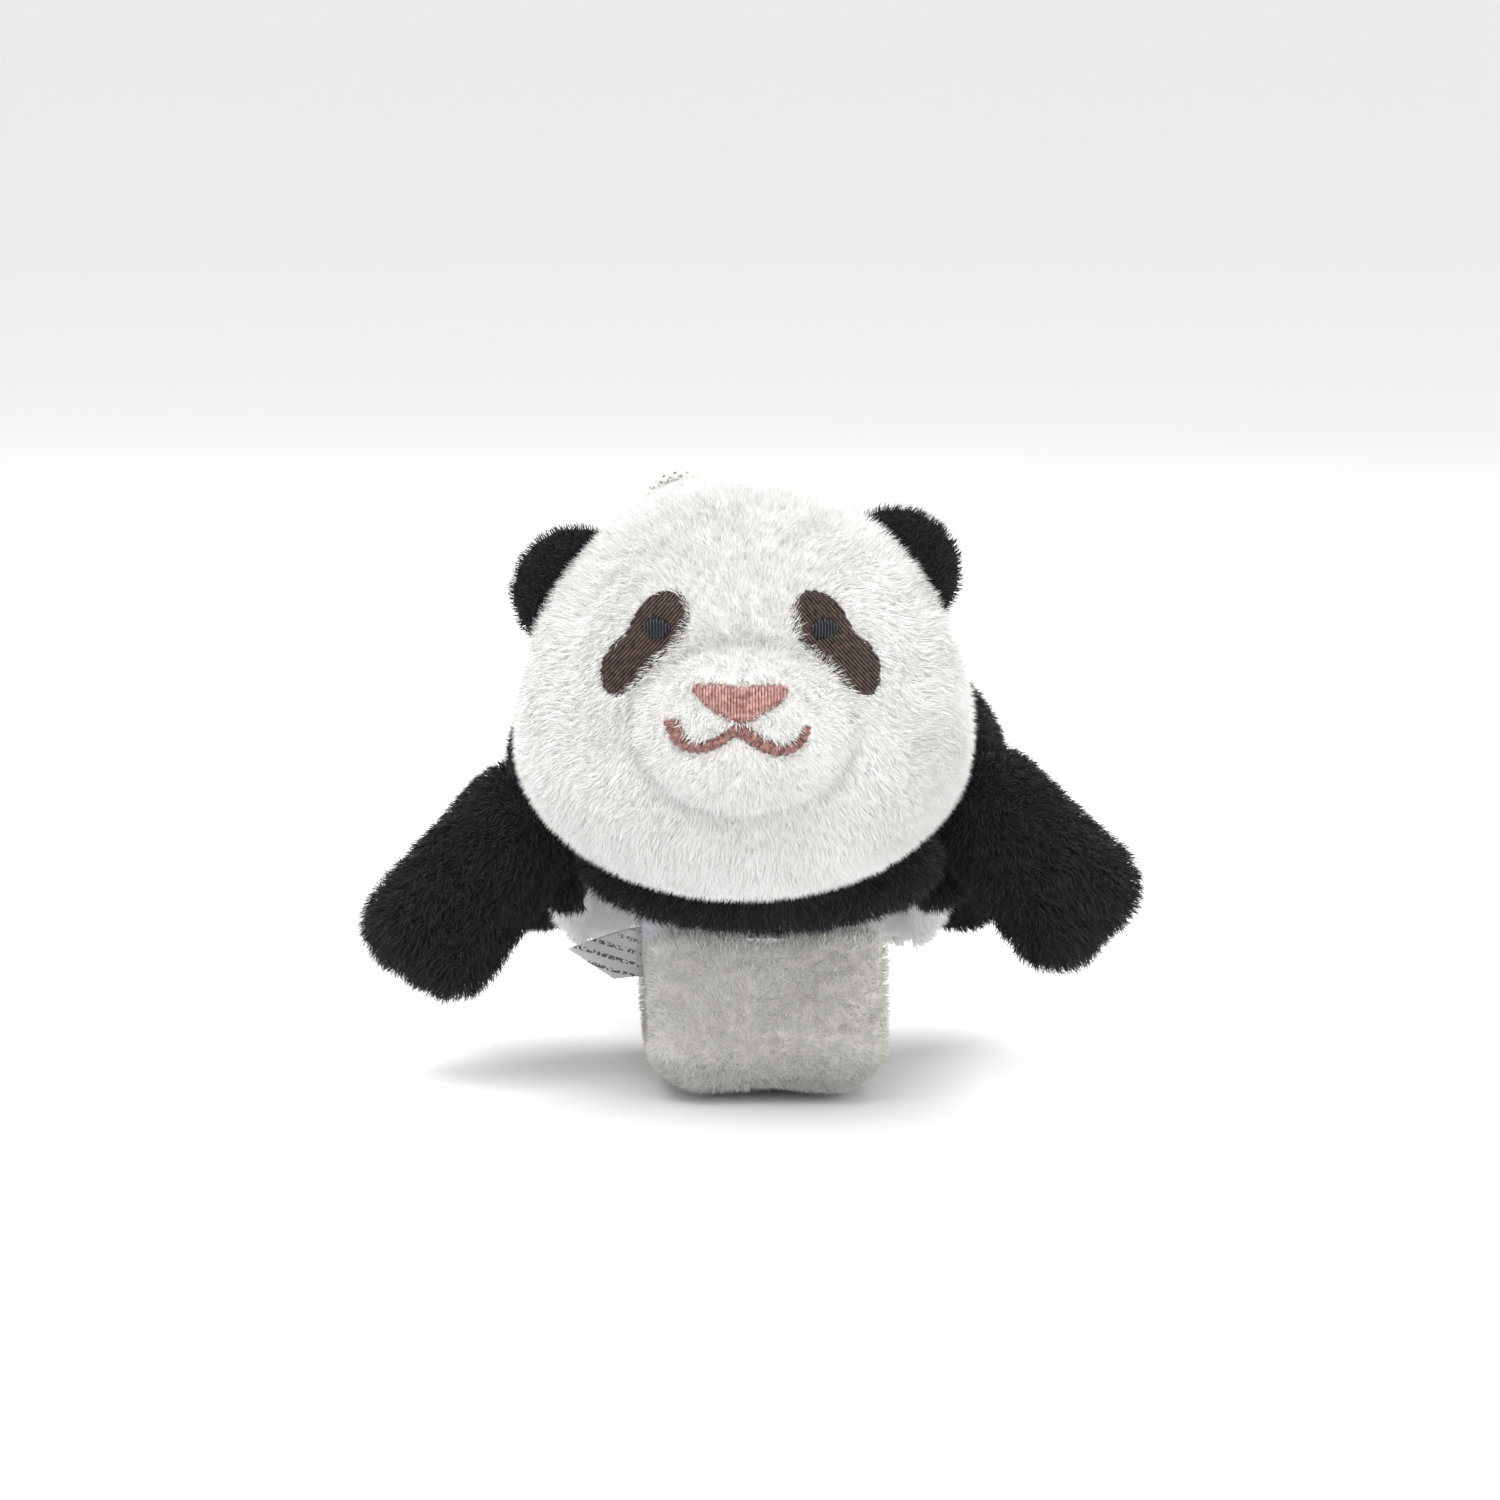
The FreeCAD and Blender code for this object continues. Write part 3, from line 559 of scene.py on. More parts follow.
def inside(outline, x, z):
    """Which points of the XZ plane lie within a closed outline."""
    result = np.zeros(len(x), bool)
    previous = outline[-1]
    for corner in outline:
        crosses = (corner[1] > z) != (previous[1] > z)
        with np.errstate(divide="ignore", invalid="ignore"):
            at = (previous[0] - corner[0]) * (z - corner[1]) / (previous[1] - corner[1]) + corner[0]
        result ^= crosses & (x < at)
        previous = corner
    return result


def grown(outline, amount):
    """The outline moved outwards from its middle by about an amount."""
    middle = outline.mean(axis=0)
    away = outline - middle
    return outline + unit(away) * amount


def skin_tree(thing):
    points, corners, _, _ = surface_of(thing)
    return BVHTree.FromPolygons([tuple(p) for p in points], [tuple(int(i) for i in c) for c in corners])


def drop_on(tree, x, z):
    """The skin's point and normal straight behind (x, z), seen from the front."""
    hit, normal, _, _ = tree.ray_cast(Vector((x, -200.0, z)), Vector((0, 1, 0)))
    if hit is None:
        return None
    if normal.y > 0:
        normal = -normal
    return np.array(hit), np.array(normal)


THREAD_HALF, THREAD_HEIGHT = THREAD / 2 * 1.05, 0.27


def thread_run(tree, start, end, lift, breaks):
    """One stitch's raised half round, laid on the skin between two points of the XZ plane."""
    length = math.dist(start, end)
    count = max(4, int(length / 0.42) + 1)
    middles, normals = [], []
    for index in range(count + 1):
        part = index / count
        placed = drop_on(tree, start[0] + (end[0] - start[0]) * part, start[1] + (end[1] - start[1]) * part)
        if placed is None:
            return None
        along = part * length
        near_end = min(along, length - along)
        rise = lift * math.sqrt(min(1.0, (near_end + 0.05) / 0.9)) - 0.25 * (near_end < 0.01)
        for stop in breaks:
            rise -= 0.16 * math.exp(-((along - stop) / 0.22) ** 2)
        middles.append(placed[0] + placed[1] * rise)
        normals.append(placed[1])
    middles, normals = np.array(middles), np.array(normals)
    along = unit(np.gradient(middles, axis=0))
    sides = unit(np.cross(normals, along))
    profile = [(-1.0, -0.35), (-0.72, 0.6), (0.0, 1.0), (0.72, 0.6), (1.0, -0.35)]
    points = np.stack([middles + sides * THREAD_HALF * u + normals * THREAD_HEIGHT * v for u, v in profile], 1)
    rows, width = points.shape[:2]
    return points.reshape(-1, 3), grid_faces(rows, width)


def filled(name, tree, outline, angle, lift, stitch=None):
    """Rows of thread at an angle across an outline; long rows are broken in a stagger."""
    turn = math.radians(angle)
    along, across = np.array([math.cos(turn), math.sin(turn)]), np.array([-math.sin(turn), math.cos(turn)])
    u, v = outline @ along, outline @ across
    after_u, after_v = np.roll(u, -1), np.roll(v, -1)
    runs = []
    row = 0
    level = v.min() + THREAD / 2
    while level < v.max():
        crossing = (v > level) != (after_v > level)
        hits = np.sort(u[crossing] + (level - v[crossing]) / (after_v - v)[crossing] * (after_u - u)[crossing])
        for low, high in zip(hits[::2], hits[1::2]):
            low, high = low - 0.3 * math.sin(row * 2.4) ** 2, high + 0.3 * math.sin(row * 1.7 + 1.0) ** 2
            if high - low > 0.4:
                breaks = []
                if stitch:
                    first = (row * 0.37 * stitch) % stitch
                    breaks = [b for b in np.arange(first, high - low, stitch) if b > 0.6]
                run = thread_run(tree, along * low + across * level, along * high + across * level, lift, breaks)
                if run is not None:
                    runs.append(run)
        level += THREAD
        row += 1
    points, faces = join_points(runs)
    return mesh_from(name, points, faces)


def thread_material(name, dark, light, roughness=0.38):
    """Rayon thread: soft gloss with fine twisted filaments; the mottle is random filament tone, and its light end,
    brighter than the dye, is a painted glint.
    """
    material = speckle(shader(name, light, roughness), dark, light, 1500.0)
    material.node_tree.nodes["Principled BSDF"].inputs["Specular IOR Level"].default_value = 0.5
    return add_bump(material, fine_noise(9000.0), 0.35, 0.05)


PATCH = [(10.4, 91.8), (13.5, 91.1), (16.1, 88.4), (17.8, 85.5), (20.5, 82.7), (22.0, 79.7), (21.6, 76.6),
         (20.0, 75.3), (17.6, 76.2), (15.0, 78.8), (12.3, 81.8), (9.3, 84.7), (8.1, 88.2), (8.7, 90.6)]
NOSE = [(-8.5, 78.3), (-5.0, 78.6), (-1.5, 78.3), (2.0, 78.5), (5.4, 78.2), (5.4, 76.6), (2.2, 74.4),
        (-1.3, 73.1), (-5.2, 74.5), (-8.2, 76.8)]
MOUTH = [(-12.2, 72.8), (-11.4, 70.8), (-9.9, 69.3), (-7.6, 69.1), (-5.0, 70.0), (-1.8, 71.9), (1.6, 69.9),
         (4.2, 68.8), (6.6, 69.0), (8.2, 70.3), (8.8, 72.0)]
PUPIL_AT, PUPIL_HALF = (12.9, 86.0), (2.15, 1.8)
MOUTH_HALF = 0.95


def face_outline(points, side):
    curve = smooth_outline(points)
    return np.stack([FACE_X + side * curve[:, 0], curve[:, 1]], 1)


def pupil_outline(side):
    around = np.linspace(0, math.tau, 40, endpoint=False)
    return np.stack([FACE_X + side * PUPIL_AT[0] + PUPIL_HALF[0] * np.cos(around),
                     PUPIL_AT[1] + PUPIL_HALF[1] * np.sin(around)], 1)


def mouth_line(count):
    """Evenly spaced points and headings along the mouth."""
    points = np.array(MOUTH)
    curve = []
    last = len(points) - 1
    for index in range(last):
        curve += curve_span(points[max(index - 1, 0)], points[index], points[index + 1],
                            points[min(index + 2, last)], 12)
    curve = np.array(curve + [points[-1]])
    run = distances(curve)
    at = np.linspace(0, run[-1], count)
    even = np.stack([np.interp(at, run, curve[:, 0]), np.interp(at, run, curve[:, 1])], 1)
    return even, unit(np.gradient(even, axis=0))


def mouth_piece(tree):
    even, heading = mouth_line(72)
    runs = []
    for index, (point, way) in enumerate(zip(even, heading)):
        side = np.array([-way[1] + 0.25, way[0]]) * (MOUTH_HALF + 0.16 * math.sin(index * 2.3))
        run = thread_run(tree, point - side, point + side, 1.25, [])
        if run is not None:
            runs.append(run)
    points, faces = join_points(runs)
    return mesh_from("mouth_satin", points, faces)


# ---- slap band
# The band's outer surface runs from the front of the arch over the top, down the back, along the
# foot and up to the free end. Each stretch is straight or an arc in the YZ plane.
BAND_HALF_WIDTH, BAND_THICK = 20.0, 6.0
RING, REAR, FRONT, FLAT_FRONT, FREE_END = 28.0, 15.0, 10.0, -19.0, 30.6
ARCH_START = 158.0
HINGE_TURNS = (15.0, 45.0, 75.0)
FREE_SHIFT = 3.0


def band_path(step=0.6):
    """Outer points and outward normals of the band in (y, z), with the distance along it."""
    points, normals = [], []

    def arc(centre, radius, start, end):
        count = max(2, int(abs(math.radians(end - start)) * radius / step))
        for index in range(count):
            angle = math.radians(start + (end - start) * index / count)
            points.append((centre[0] + radius * math.cos(angle), centre[1] + radius * math.sin(angle)))
            normals.append((math.cos(angle), math.sin(angle)))

    def line(start, end, normal):
        count = max(2, int(math.dist(start, end) / step))
        for index in range(count):
            part = index / count
            points.append((start[0] + (end[0] - start[0]) * part, start[1] + (end[1] - start[1]) * part))
            normals.append(normal)

    arc((0.0, RING_AXIS[2]), RING, ARCH_START, 0.0)
    line((RING, RING_AXIS[2]), (RING, REAR), (1.0, 0.0))
    arc((RING - REAR, REAR), REAR, 0.0, -90.0)
    line((RING - REAR, 0.0), (FLAT_FRONT, 0.0), (0.0, -1.0))
    arc((FLAT_FRONT, FRONT), FRONT, -90.0, -180.0)
    line((FLAT_FRONT - FRONT, FRONT), (FLAT_FRONT - FRONT, FREE_END), (-1.0, 0.0))
    points.append((FLAT_FRONT - FRONT, FREE_END))
    normals.append((-1.0, 0.0))
    points, normals = np.array(points), np.array(normals)
    return points, normals, distances(points)


PATH, PATH_OUT, PATH_RUN = band_path()
ARCH_RUN = math.radians(ARCH_START) * RING
REAR_START = ARCH_RUN + RING_AXIS[2] - REAR
FLAT_START = REAR_START + math.pi / 2 * REAR
FRONT_START = FLAT_START + (RING - REAR) - FLAT_FRONT
HINGE_RUNS = ([REAR_START + math.radians(t) * REAR for t in HINGE_TURNS]
              + [FRONT_START + math.radians(t) * FRONT for t in HINGE_TURNS])
BAND_END = PATH_RUN[-1]
# the band is cut for display half way between its bends
BETWEEN = [(a + b) / 2 for a, b in zip(HINGE_RUNS, HINGE_RUNS[1:])]
CUTS = [HINGE_RUNS[0] - 7.0] + BETWEEN + [HINGE_RUNS[-1] + 5.0]


def along_band(run, values):
    """A pair of values read at distances along the band."""
    return np.stack([np.interp(run, PATH_RUN, values[:, 0]), np.interp(run, PATH_RUN, values[:, 1])], 1)


def band_at(run):
    """Outer point and outward normal at distances along the band."""
    return along_band(run, PATH), unit(along_band(run, PATH_OUT))


def band_shift(run):
    """The coil's sideways lead, in X."""
    return FREE_SHIFT * np.clip((run - REAR_START) / (FRONT_START - REAR_START), 0, 1)


def band_section(count=72):
    """The band's rounded cross section: width in X, depth below the outer surface."""
    half_x, half_z = BAND_HALF_WIDTH - 0.9, BAND_THICK / 2 - 0.9
    around = np.linspace(0, math.tau, count, endpoint=False)
    x = np.sign(np.cos(around)) * np.abs(np.cos(around)) ** 0.22 * half_x
    z = np.sign(np.sin(around)) * np.abs(np.sin(around)) ** 0.55 * half_z
    crown = 1.0 + 0.12 * (1 - (x / half_x) ** 2)
    return x, BAND_THICK / 2 - z * crown


# the free end is rounded over this length, by a slightly larger radius so that it keeps some thickness
END_ROUND, END_RADIUS = 3.2, 3.25


def band_skin(start, end, close_end):
    """A length of the padded band, as points and faces."""
    runs = np.append(np.arange(start, end, 0.9), end)
    cap = np.ones(len(runs))
    if close_end:
        straight = end - END_ROUND
        round_over = np.array([0.0, 0.35, 0.6, 0.8, 0.92, 1.0])
        runs = np.concatenate([runs[runs < straight], end - END_ROUND * (1 - round_over)])
        rounded = np.sqrt(np.clip(1 - ((runs - straight) / END_RADIUS) ** 2, 0.02, 1))
        cap = np.where(runs > straight, rounded, 1.0)
    centre, out = band_at(runs)
    width, depth = band_section()
    middle = BAND_THICK / 2
    rows = []
    for index, run in enumerate(runs):
        pinch = cap[index]
        side = 1.0 - (1.0 - pinch) * 0.14
        swell = 0.25 * math.sin(run * 0.55) + 0.15 * math.sin(run * 0.21 + 1.0)
        level = middle + (depth - middle) * pinch
        level = level - 0.12 * swell * np.cos(width / BAND_HALF_WIDTH * 2.0)
        y = centre[index, 0] - out[index, 0] * level
        z = centre[index, 1] - out[index, 1] * level
        rows.append(np.stack([width * side + band_shift(run), y, z], 1))
    points = np.vstack(rows)
    count = len(width)
    faces = grid_faces(len(runs), count, closed=True)
    # only the band's own two ends are closed, so that the pile runs on over the cuts
    if start == 0.0:
        faces.append(tuple(range(count - 1, -1, -1)))
    if close_end:
        faces.append(tuple(range((len(runs) - 1) * count, len(runs) * count)))
    return points, [tuple(reversed(face)) for face in faces]


# ---- cord
LOOP_ROUTE = [(-4.0, -19.1, 98.0), (-4.6, -18.2, 101.4), (-7.4, -19.6, 105.2), (-11.6, -20.6, 106.6),
              (-15.6, -18.8, 104.6), (-17.8, -14.2, 99.6), (-17.6, -8.6, 92.0), (-13.6, -4.9, 85.4),
              (-6.4, -4.4, 83.6), (-2.2, -6.2, 86.6), (-0.8, -10.4, 91.4), (-0.4, -15.3, 92.0)]
CORD_DIAMETER = 2.2


def loop_line():
    """Even points along the smooth line of the hanging loop."""
    curve = bpy.data.curves.new("loop_route", "CURVE")
    curve.dimensions = "3D"
    curve.resolution_u = 24
    spline = curve.splines.new("NURBS")
    spline.points.add(len(LOOP_ROUTE) - 1)
    for point, place in zip(spline.points, LOOP_ROUTE):
        point.co = (*(Vector(place) * MM), 1)
    spline.order_u = 3
    spline.use_endpoint_u = True
    thing = new_object("loop_route", curve)
    bpy.context.view_layer.update()
    graph = bpy.context.evaluated_depsgraph_get()
    mesh = bpy.data.meshes.new_from_object(thing.evaluated_get(graph))
    line = np.array([v.co for v in mesh.vertices], float) / MM
    bpy.data.objects.remove(thing, do_unlink=True)
    bpy.data.meshes.remove(mesh)
    run = distances(line)
    even = np.linspace(0, run[-1], int(run[-1] / 0.16))
    return np.stack([np.interp(even, run, line[:, k]) for k in range(3)], 1), run[-1]


def braided_cord(line, length):
    """Eight plaited strands round the line, each weaving over and under the others."""
    ways = unit(np.gradient(line, axis=0))
    ups = np.empty_like(ways)
    up = unit(np.cross(ways[0], (0, 0, 1)))
    for index, way in enumerate(ways):
        up = unit(up - way * (up @ way))
        ups[index] = up
    sides = np.cross(ways, ups)
    run = np.linspace(0, length, len(line))
    strands, pitch, radius = 8, 7.0, CORD_DIAMETER / 2 - 0.33
    ring = 7
    parts = []
    for strand in range(strands):
        hand = 1 if strand % 2 == 0 else -1
        phase = math.tau * (strand // 2) / (strands // 2)
        turn = hand * math.tau * run / pitch + phase
        weave = 0.14 * np.sin((strands / 2) * (math.tau * run / pitch) + math.pi / 2 * (1 - hand) + phase * hand)
        reach = (radius + weave)[:, None]
        middle = line + reach * (np.cos(turn)[:, None] * ups + np.sin(turn)[:, None] * sides)
        way = unit(np.gradient(middle, axis=0))
        out = unit(middle - line)
        flank = np.cross(way, out)
        points = np.stack([middle + 0.42 * math.cos(math.tau * k / ring) * flank
                           + 0.27 * math.sin(math.tau * k / ring) * out for k in range(ring)], 1)
        parts.append((points.reshape(-1, 3), grid_faces(len(line), ring, closed=True)))
    points, faces = join_points(parts)
    return mesh_from("hang_loop_braid", points, faces)


# ---- care label
LABEL_CORNERS = np.array([(-17.5, 20.6), (-17.5, 11.2), (-24.0, 11.6), (-32.0, 17.2)])
LABEL_Y = 25.0


def care_label():
    """Two leaves of satin ribbon, folded at the far edge and curling towards the front."""
    columns, rows, gap = 34, 26, 0.55
    top_in, low_in, low_out, top_out = LABEL_CORNERS
    grid = []
    for column in range(2 * columns + 1):
        part = column / columns if column <= columns else 2 - column / columns
        leaf = 1 if column <= columns else -1
        for row in range(rows + 1):
            down = row / rows
            inner = top_in + (low_in - top_in) * down
            outer = top_out + (low_out - top_out) * down
            x, z = inner + (outer - inner) * part
            bow = -2.2 * part ** 1.6 + 0.5 * math.sin(part * 5 + down * 2.0) * part
            open_up = gap * leaf * (1 - part) ** 0.5 * (0.6 + 0.4 * down)
            grid.append((x, LABEL_Y + bow - open_up, z + 0.25 * math.sin(part * 4)))
    label = mesh_from("care_label_satin", grid, grid_faces(2 * columns + 1, rows + 1))
    thick = label.modifiers.new("Thickness", "SOLIDIFY")
    thick.thickness = 0.16 * MM
    thick.offset = 0
    apply_modifiers(label)
    return label


def satin_material():
    """White satin ribbon, greyed a little as painted shade from the arm above it, with a fine weave and rows of
    short grey printed marks.
    """
    material = shader("label_satin", (0.80, 0.79, 0.81), 0.35, 0.3)
    tree = material.node_tree
    split = tree.nodes.new("ShaderNodeSeparateXYZ")
    tree.links.new(object_place(tree), split.inputs["Vector"])

    def maths(operation, first, second):
        node = tree.nodes.new("ShaderNodeMath")
        node.operation = operation
        for socket, value in zip(node.inputs, (first, second)):
            if isinstance(value, (int, float)):
                socket.default_value = value
            else:
                tree.links.new(value, socket)
        return node.outputs[0]
    slope = maths("ADD", split.outputs["Z"], maths("MULTIPLY", split.outputs["X"], 0.35))
    line_place = maths("FRACT", maths("MULTIPLY", slope, 1 / (2.1 * MM)), 0.0)
    line_mask = maths("LESS_THAN", line_place, 0.34)
    mark = maths("MULTIPLY", line_mask, maths("GREATER_THAN", noise_height(tree, 1800.0, 1.0), 0.5))
    mix = tree.nodes.new("ShaderNodeMix")
    mix.data_type = "RGBA"
    # a greyed white with a lavender cast: painted shade from the arm above; the dark marks are print
    mix.inputs["A"].default_value = (0.78, 0.76, 0.79, 1)
    mix.inputs["B"].default_value = (0.16, 0.15, 0.17, 1)
    tree.links.new(mark, mix.inputs["Factor"])
    tree.links.new(mix.outputs["Result"], tree.nodes["Principled BSDF"].inputs["Base Color"])
    return add_bump(material, fine_noise(7000.0), 0.25, 0.04)


# ---- build: covers
def stand_in(thing, body, nodes, material):
    """Put a piece on a body in place of its CAD nodes."""
    thing.data.materials.append(material)
    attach(thing, body)
    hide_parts(*nodes)


def dress(thing, name, body, backing, nodes):
    """Name a skin, give it its backing cloth and let it stand for its CAD nodes."""
    thing.name = name
    thing.data.materials.clear()
    stand_in(thing, body, nodes, backing)


def wear(name, make, body, chosen=None):
    """Put a pile, or the chosen part of it, on a body."""
    hair = make(name, chosen)
    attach(hair, body)


def outside_muzzle(points, grow):
    return (((points - MUZZLE_CENTRE) / (MUZZLE_HALF + grow)) ** 2).sum(1) > 1.0


def outside_head(points, grow):
    """True for points outside the head's egg, grown or shrunk."""
    half = np.tile([HEAD_HALF[0], HEAD_HALF[1], HEAD_RISE], (len(points), 1))
    half[points[:, 2] < HEAD_CENTRE[2], 2] = HEAD_FALL
    return (((points - HEAD_CENTRE) / (half + grow)) ** 2).sum(1) > 1.0


head = head_skin()
muzzle = muzzle_skin()
head_tree, muzzle_tree = skin_tree(head), skin_tree(muzzle)
dress(head, "head_cloth", "body", WHITE_BACKING, ["head_front_cover", "head_back_cover", "head_stuffing"])
dress(muzzle, "muzzle_cloth", "body", WHITE_BACKING, ["muzzle_cover", "muzzle_stuffing"])

# each thread mottles between a darker tone and a lighter one; the lighter one is a painted glint, brighter than the
# dye
BROWN = thread_material("brown_thread", (0.010, 0.0055, 0.004), (0.085, 0.050, 0.036), 0.42)
JET = thread_material("black_thread", (0.006, 0.007, 0.010), (0.016, 0.017, 0.022), 0.3)
PINK = thread_material("pink_thread", (0.20, 0.085, 0.072), (0.56, 0.32, 0.285), 0.28)
MAUVE = thread_material("mauve_thread", (0.095, 0.036, 0.031), (0.37, 0.180, 0.158), 0.28)
PATCH_LIFT, PUPIL_LIFT, NOSE_LIFT = 0.95, 1.6, 1.25
patches = {}
for side_name, side in (("left", -1), ("right", 1)):
    patches[side_name] = face_outline(PATCH, side)
    patch = filled(f"eye_patch_{side_name}_stitches", head_tree, patches[side_name], 180 - side * 48,
                   PATCH_LIFT, stitch=3.6)
    stand_in(patch, "body", [f"eye_patch_{side_name}"], BROWN)
    pupil = filled(f"pupil_{side_name}_stitches", head_tree, pupil_outline(side), 90, PUPIL_LIFT)
    stand_in(pupil, "body", [f"pupil_{side_name}"], JET)
nose_outline = smooth_outline(NOSE)
nose = filled("nose_stitches", muzzle_tree, nose_outline, 90, NOSE_LIFT)
mouth = mouth_piece(muzzle_tree)
stand_in(nose, "body", ["nose"], PINK)
stand_in(mouth, "body", ["mouth"], MAUVE)


def clear_of_stitches(points):
    """False where embroidery covers the face."""
    front = points[:, 1] < HEAD_CENTRE[1]
    covered = np.zeros(len(points), bool)
    for outline in patches.values():
        covered |= inside(grown(outline, -0.5), points[:, 0], points[:, 2])
    covered |= inside(grown(nose_outline, -0.4), points[:, 0], points[:, 2])
    line, _ = mouth_line(40)
    gap = np.hypot(points[:, None, 0] - line[None, :, 0], points[:, None, 2] - line[None, :, 1]).min(axis=1)
    covered |= gap < MOUTH_HALF + 0.1
    return ~(covered & front)


def face_comb(points, ups):
    """Pile lies away from the muzzle and down."""
    away = unit(points - (MUZZLE_CENTRE + np.array([0, 0, 6.0])))
    rim = np.clip((points[:, 1] - HEAD_CENTRE[1] + 14.0) / 14.0, 0, 1)[:, None]
    return (0.5 - 0.35 * rim) * away + np.array([0.0, -0.1, -0.3])


HEAD_PILE = 2.5
roots, make = pile(head, HEAD_PILE, WHITE, face_comb, seed=3, dense=1.35, width=0.14, clump=0.18, stray=0.13,
                   keep=lambda p, n: clear_of_stitches(p) & outside_muzzle(p, -1.6))
front = roots[:, 1] < HEAD_CENTRE[1] + 3.0
right = roots[:, 0] > HEAD_CENTRE[0]
for label, chosen in (("face_right", front & right), ("face_left", front & ~right),
                      ("crown_right", ~front & right), ("crown_left", ~front & ~right)):
    wear(f"head_pile_{label}", make, "body", chosen)

_, make = pile(muzzle, 2.1, WHITE, lambda p, n: 0.4 * unit(p - MUZZLE_CENTRE) + np.array([0, 0, -0.3]),
               seed=5, dense=1.4, width=0.14, clump=0.2, stray=0.14,
               keep=lambda p, n: clear_of_stitches(p) & outside_head(p, -2.0) & (p[:, 1] < HEAD_CENTRE[1]))
wear("muzzle_pile", make, "body")

# shoulders, chest and torso share one stuffed form, sewn round the middle
whole = body_skin()


def half_of(thing, name, front_half):
    """The part of a skin before or behind the seam."""
    copy = thing.copy()
    copy.data = thing.data.copy()
    copy.name = name
    bpy.context.scene.collection.objects.link(copy)
    work = bmesh.new()
    work.from_mesh(copy.data)
    geometry = work.verts[:] + work.edges[:] + work.faces[:]
    bmesh.ops.bisect_plane(work, geom=geometry, plane_co=(0, SEAM_Y * MM, 0), plane_no=(0, 1, 0),
                           clear_outer=front_half, clear_inner=not front_half)
    work.to_mesh(copy.data)
    work.free()
    return copy


shoulders = half_of(whole, "shoulder_half", True)
torso = half_of(whole, "torso_half", False)
bpy.data.objects.remove(whole, do_unlink=True)
dress(shoulders, "shoulder_cloth", "body", BLACK_BACKING,
      ["shoulder_cover", "body_stuffing", "chest_stuffing"])
dress(torso, "torso_cloth", "body", WHITE_BACKING, ["torso_cover"])


def off_the_arch(points, ups):
    """Pile grows on the outside of the body, not in the arch over the band."""
    return ~in_arch(points, 1.2) & outside_head(points, -1.5)


def down_back(points, ups):
    """Pile lies down, back and away from the middle."""
    return np.tile([0.0, 0.45, -0.55], (len(points), 1)) + 0.25 * np.sign(points[:, :1]) * [1, 0, 0]


for part, skin, length, palette, slot, seed in (("shoulder", shoulders, 2.7, BLACK, "black_pile", 9),
                                                ("torso", torso, 2.8, WHITE, "white_pile", 11)):
    roots, make = pile(skin, length, palette, down_back, seed=seed, keep=off_the_arch)
    for label, chosen in (("right", roots[:, 0] > 0), ("left", roots[:, 0] <= 0)):
        wear(f"{part}_pile_{label}", make, "body", chosen)

tail = tail_skin()
_, make = pile(tail, 2.8, WHITE, (0, 0.4, -0.5), seed=13)
wear("tail_pile", make, "body")
dress(tail, "tail_cloth", "body", WHITE_BACKING, ["tail_cover"])

for number, limb in enumerate(LIMBS):
    skin = limb_skin(limb)
    (hinge_x, hinge_z), _, toes = LIMBS[limb]
    tip = np.mean([(x, z) for x, z, _ in toes], axis=0)
    run = np.array([tip[0] - hinge_x, 0.0, tip[1] - hinge_z])
    heading = run / np.linalg.norm(run)
    _, make = pile(skin, lambda p: 2.4 + 1.3 * np.clip((p - [hinge_x, 0, hinge_z]) @ heading / 24.0, 0, 1),
                   BLACK, tuple(0.6 * heading + [0, 0, -0.15]), seed=20 + number)
    wear(f"{limb}_pile", make, limb)
    dress(skin, f"{limb}_cloth", limb, BLACK_BACKING, [f"{limb}_cover", f"{limb}_stuffing"])

for number, side_name in enumerate(EARS):
    skin = ear_skin(side_name)
    out = math.sin(EARS[side_name][1]), 0.0, math.cos(EARS[side_name][1])
    _, make = pile(skin, 1.5, BLACK, tuple(0.8 * np.array(out)), seed=30 + number, width=0.15, clump=0.2,
                   keep=lambda p, n: outside_head(p, -0.6))
    wear(f"ear_{side_name}_pile", make, f"ear_{side_name}")
    dress(skin, f"ear_{side_name}_cloth", f"ear_{side_name}", BLACK_BACKING,
          [f"ear_{side_name}_front", f"ear_{side_name}_back"])

# ---- build: band
# the lining is white cloth; its lavender grey is painted shade from the body above it
LAVENDER = (0.80, 0.78, 0.84)
LINING = speckle(shader("belly_lining_cloth", LAVENDER, 0.9, 0.3), (0.62, 0.60, 0.67), LAVENDER, 1200.0)
add_bump(LINING, fine_noise(3200.0), 0.5, 0.15)


def on_outer_face(points, ups):
    """True on the band's outer face and edges; the inside is left flat."""
    facing = (ups[:, 1:] * along_band(nearest_run(points), PATH_OUT)).sum(1)
    return (facing > -0.55) & (points[:, 2] > 0.4)


def nearest_run(points):
    """How far along the band each point is."""
    result = np.empty(len(points))
    for start in range(0, len(points), 20000):
        block = points[start:start + 20000, 1:]
        gap = ((block[:, None, :] - (PATH - PATH_OUT * BAND_THICK / 2)[None, ::3, :]) ** 2).sum(2)
        result[start:start + 20000] = PATH_RUN[::3][gap.argmin(1)]
    return result


def band_comb(points, ups):
    """Pile lies across the band and towards its free end."""
    run = nearest_run(points)
    out = along_band(run, PATH_OUT)
    way = np.stack([np.zeros(len(points)), out[:, 1], -out[:, 0]], 1)
    parting = np.sin(run * 2.6 + 0.8 * np.sin(points[:, 0] * 0.22))
    return (0.45 + 0.2 * parting)[:, None] * way + 0.25 * np.sign(points[:, :1]) * np.array([[1.0, 0, 0]])


def keep_above_floor(thing):
    """Nothing of the soft foot may reach below the plane it rests on."""
    points = coords(thing)
    points[:, 2] = np.maximum(points[:, 2], 0.05)
    set_coords(thing, points)


DIP_BACK, DIP_DOWN = 1.5, 1.8
EDGE_CURL, MIDDLE_LIFT, FRONT_LIFT = 6.0, 1.0, 2.4


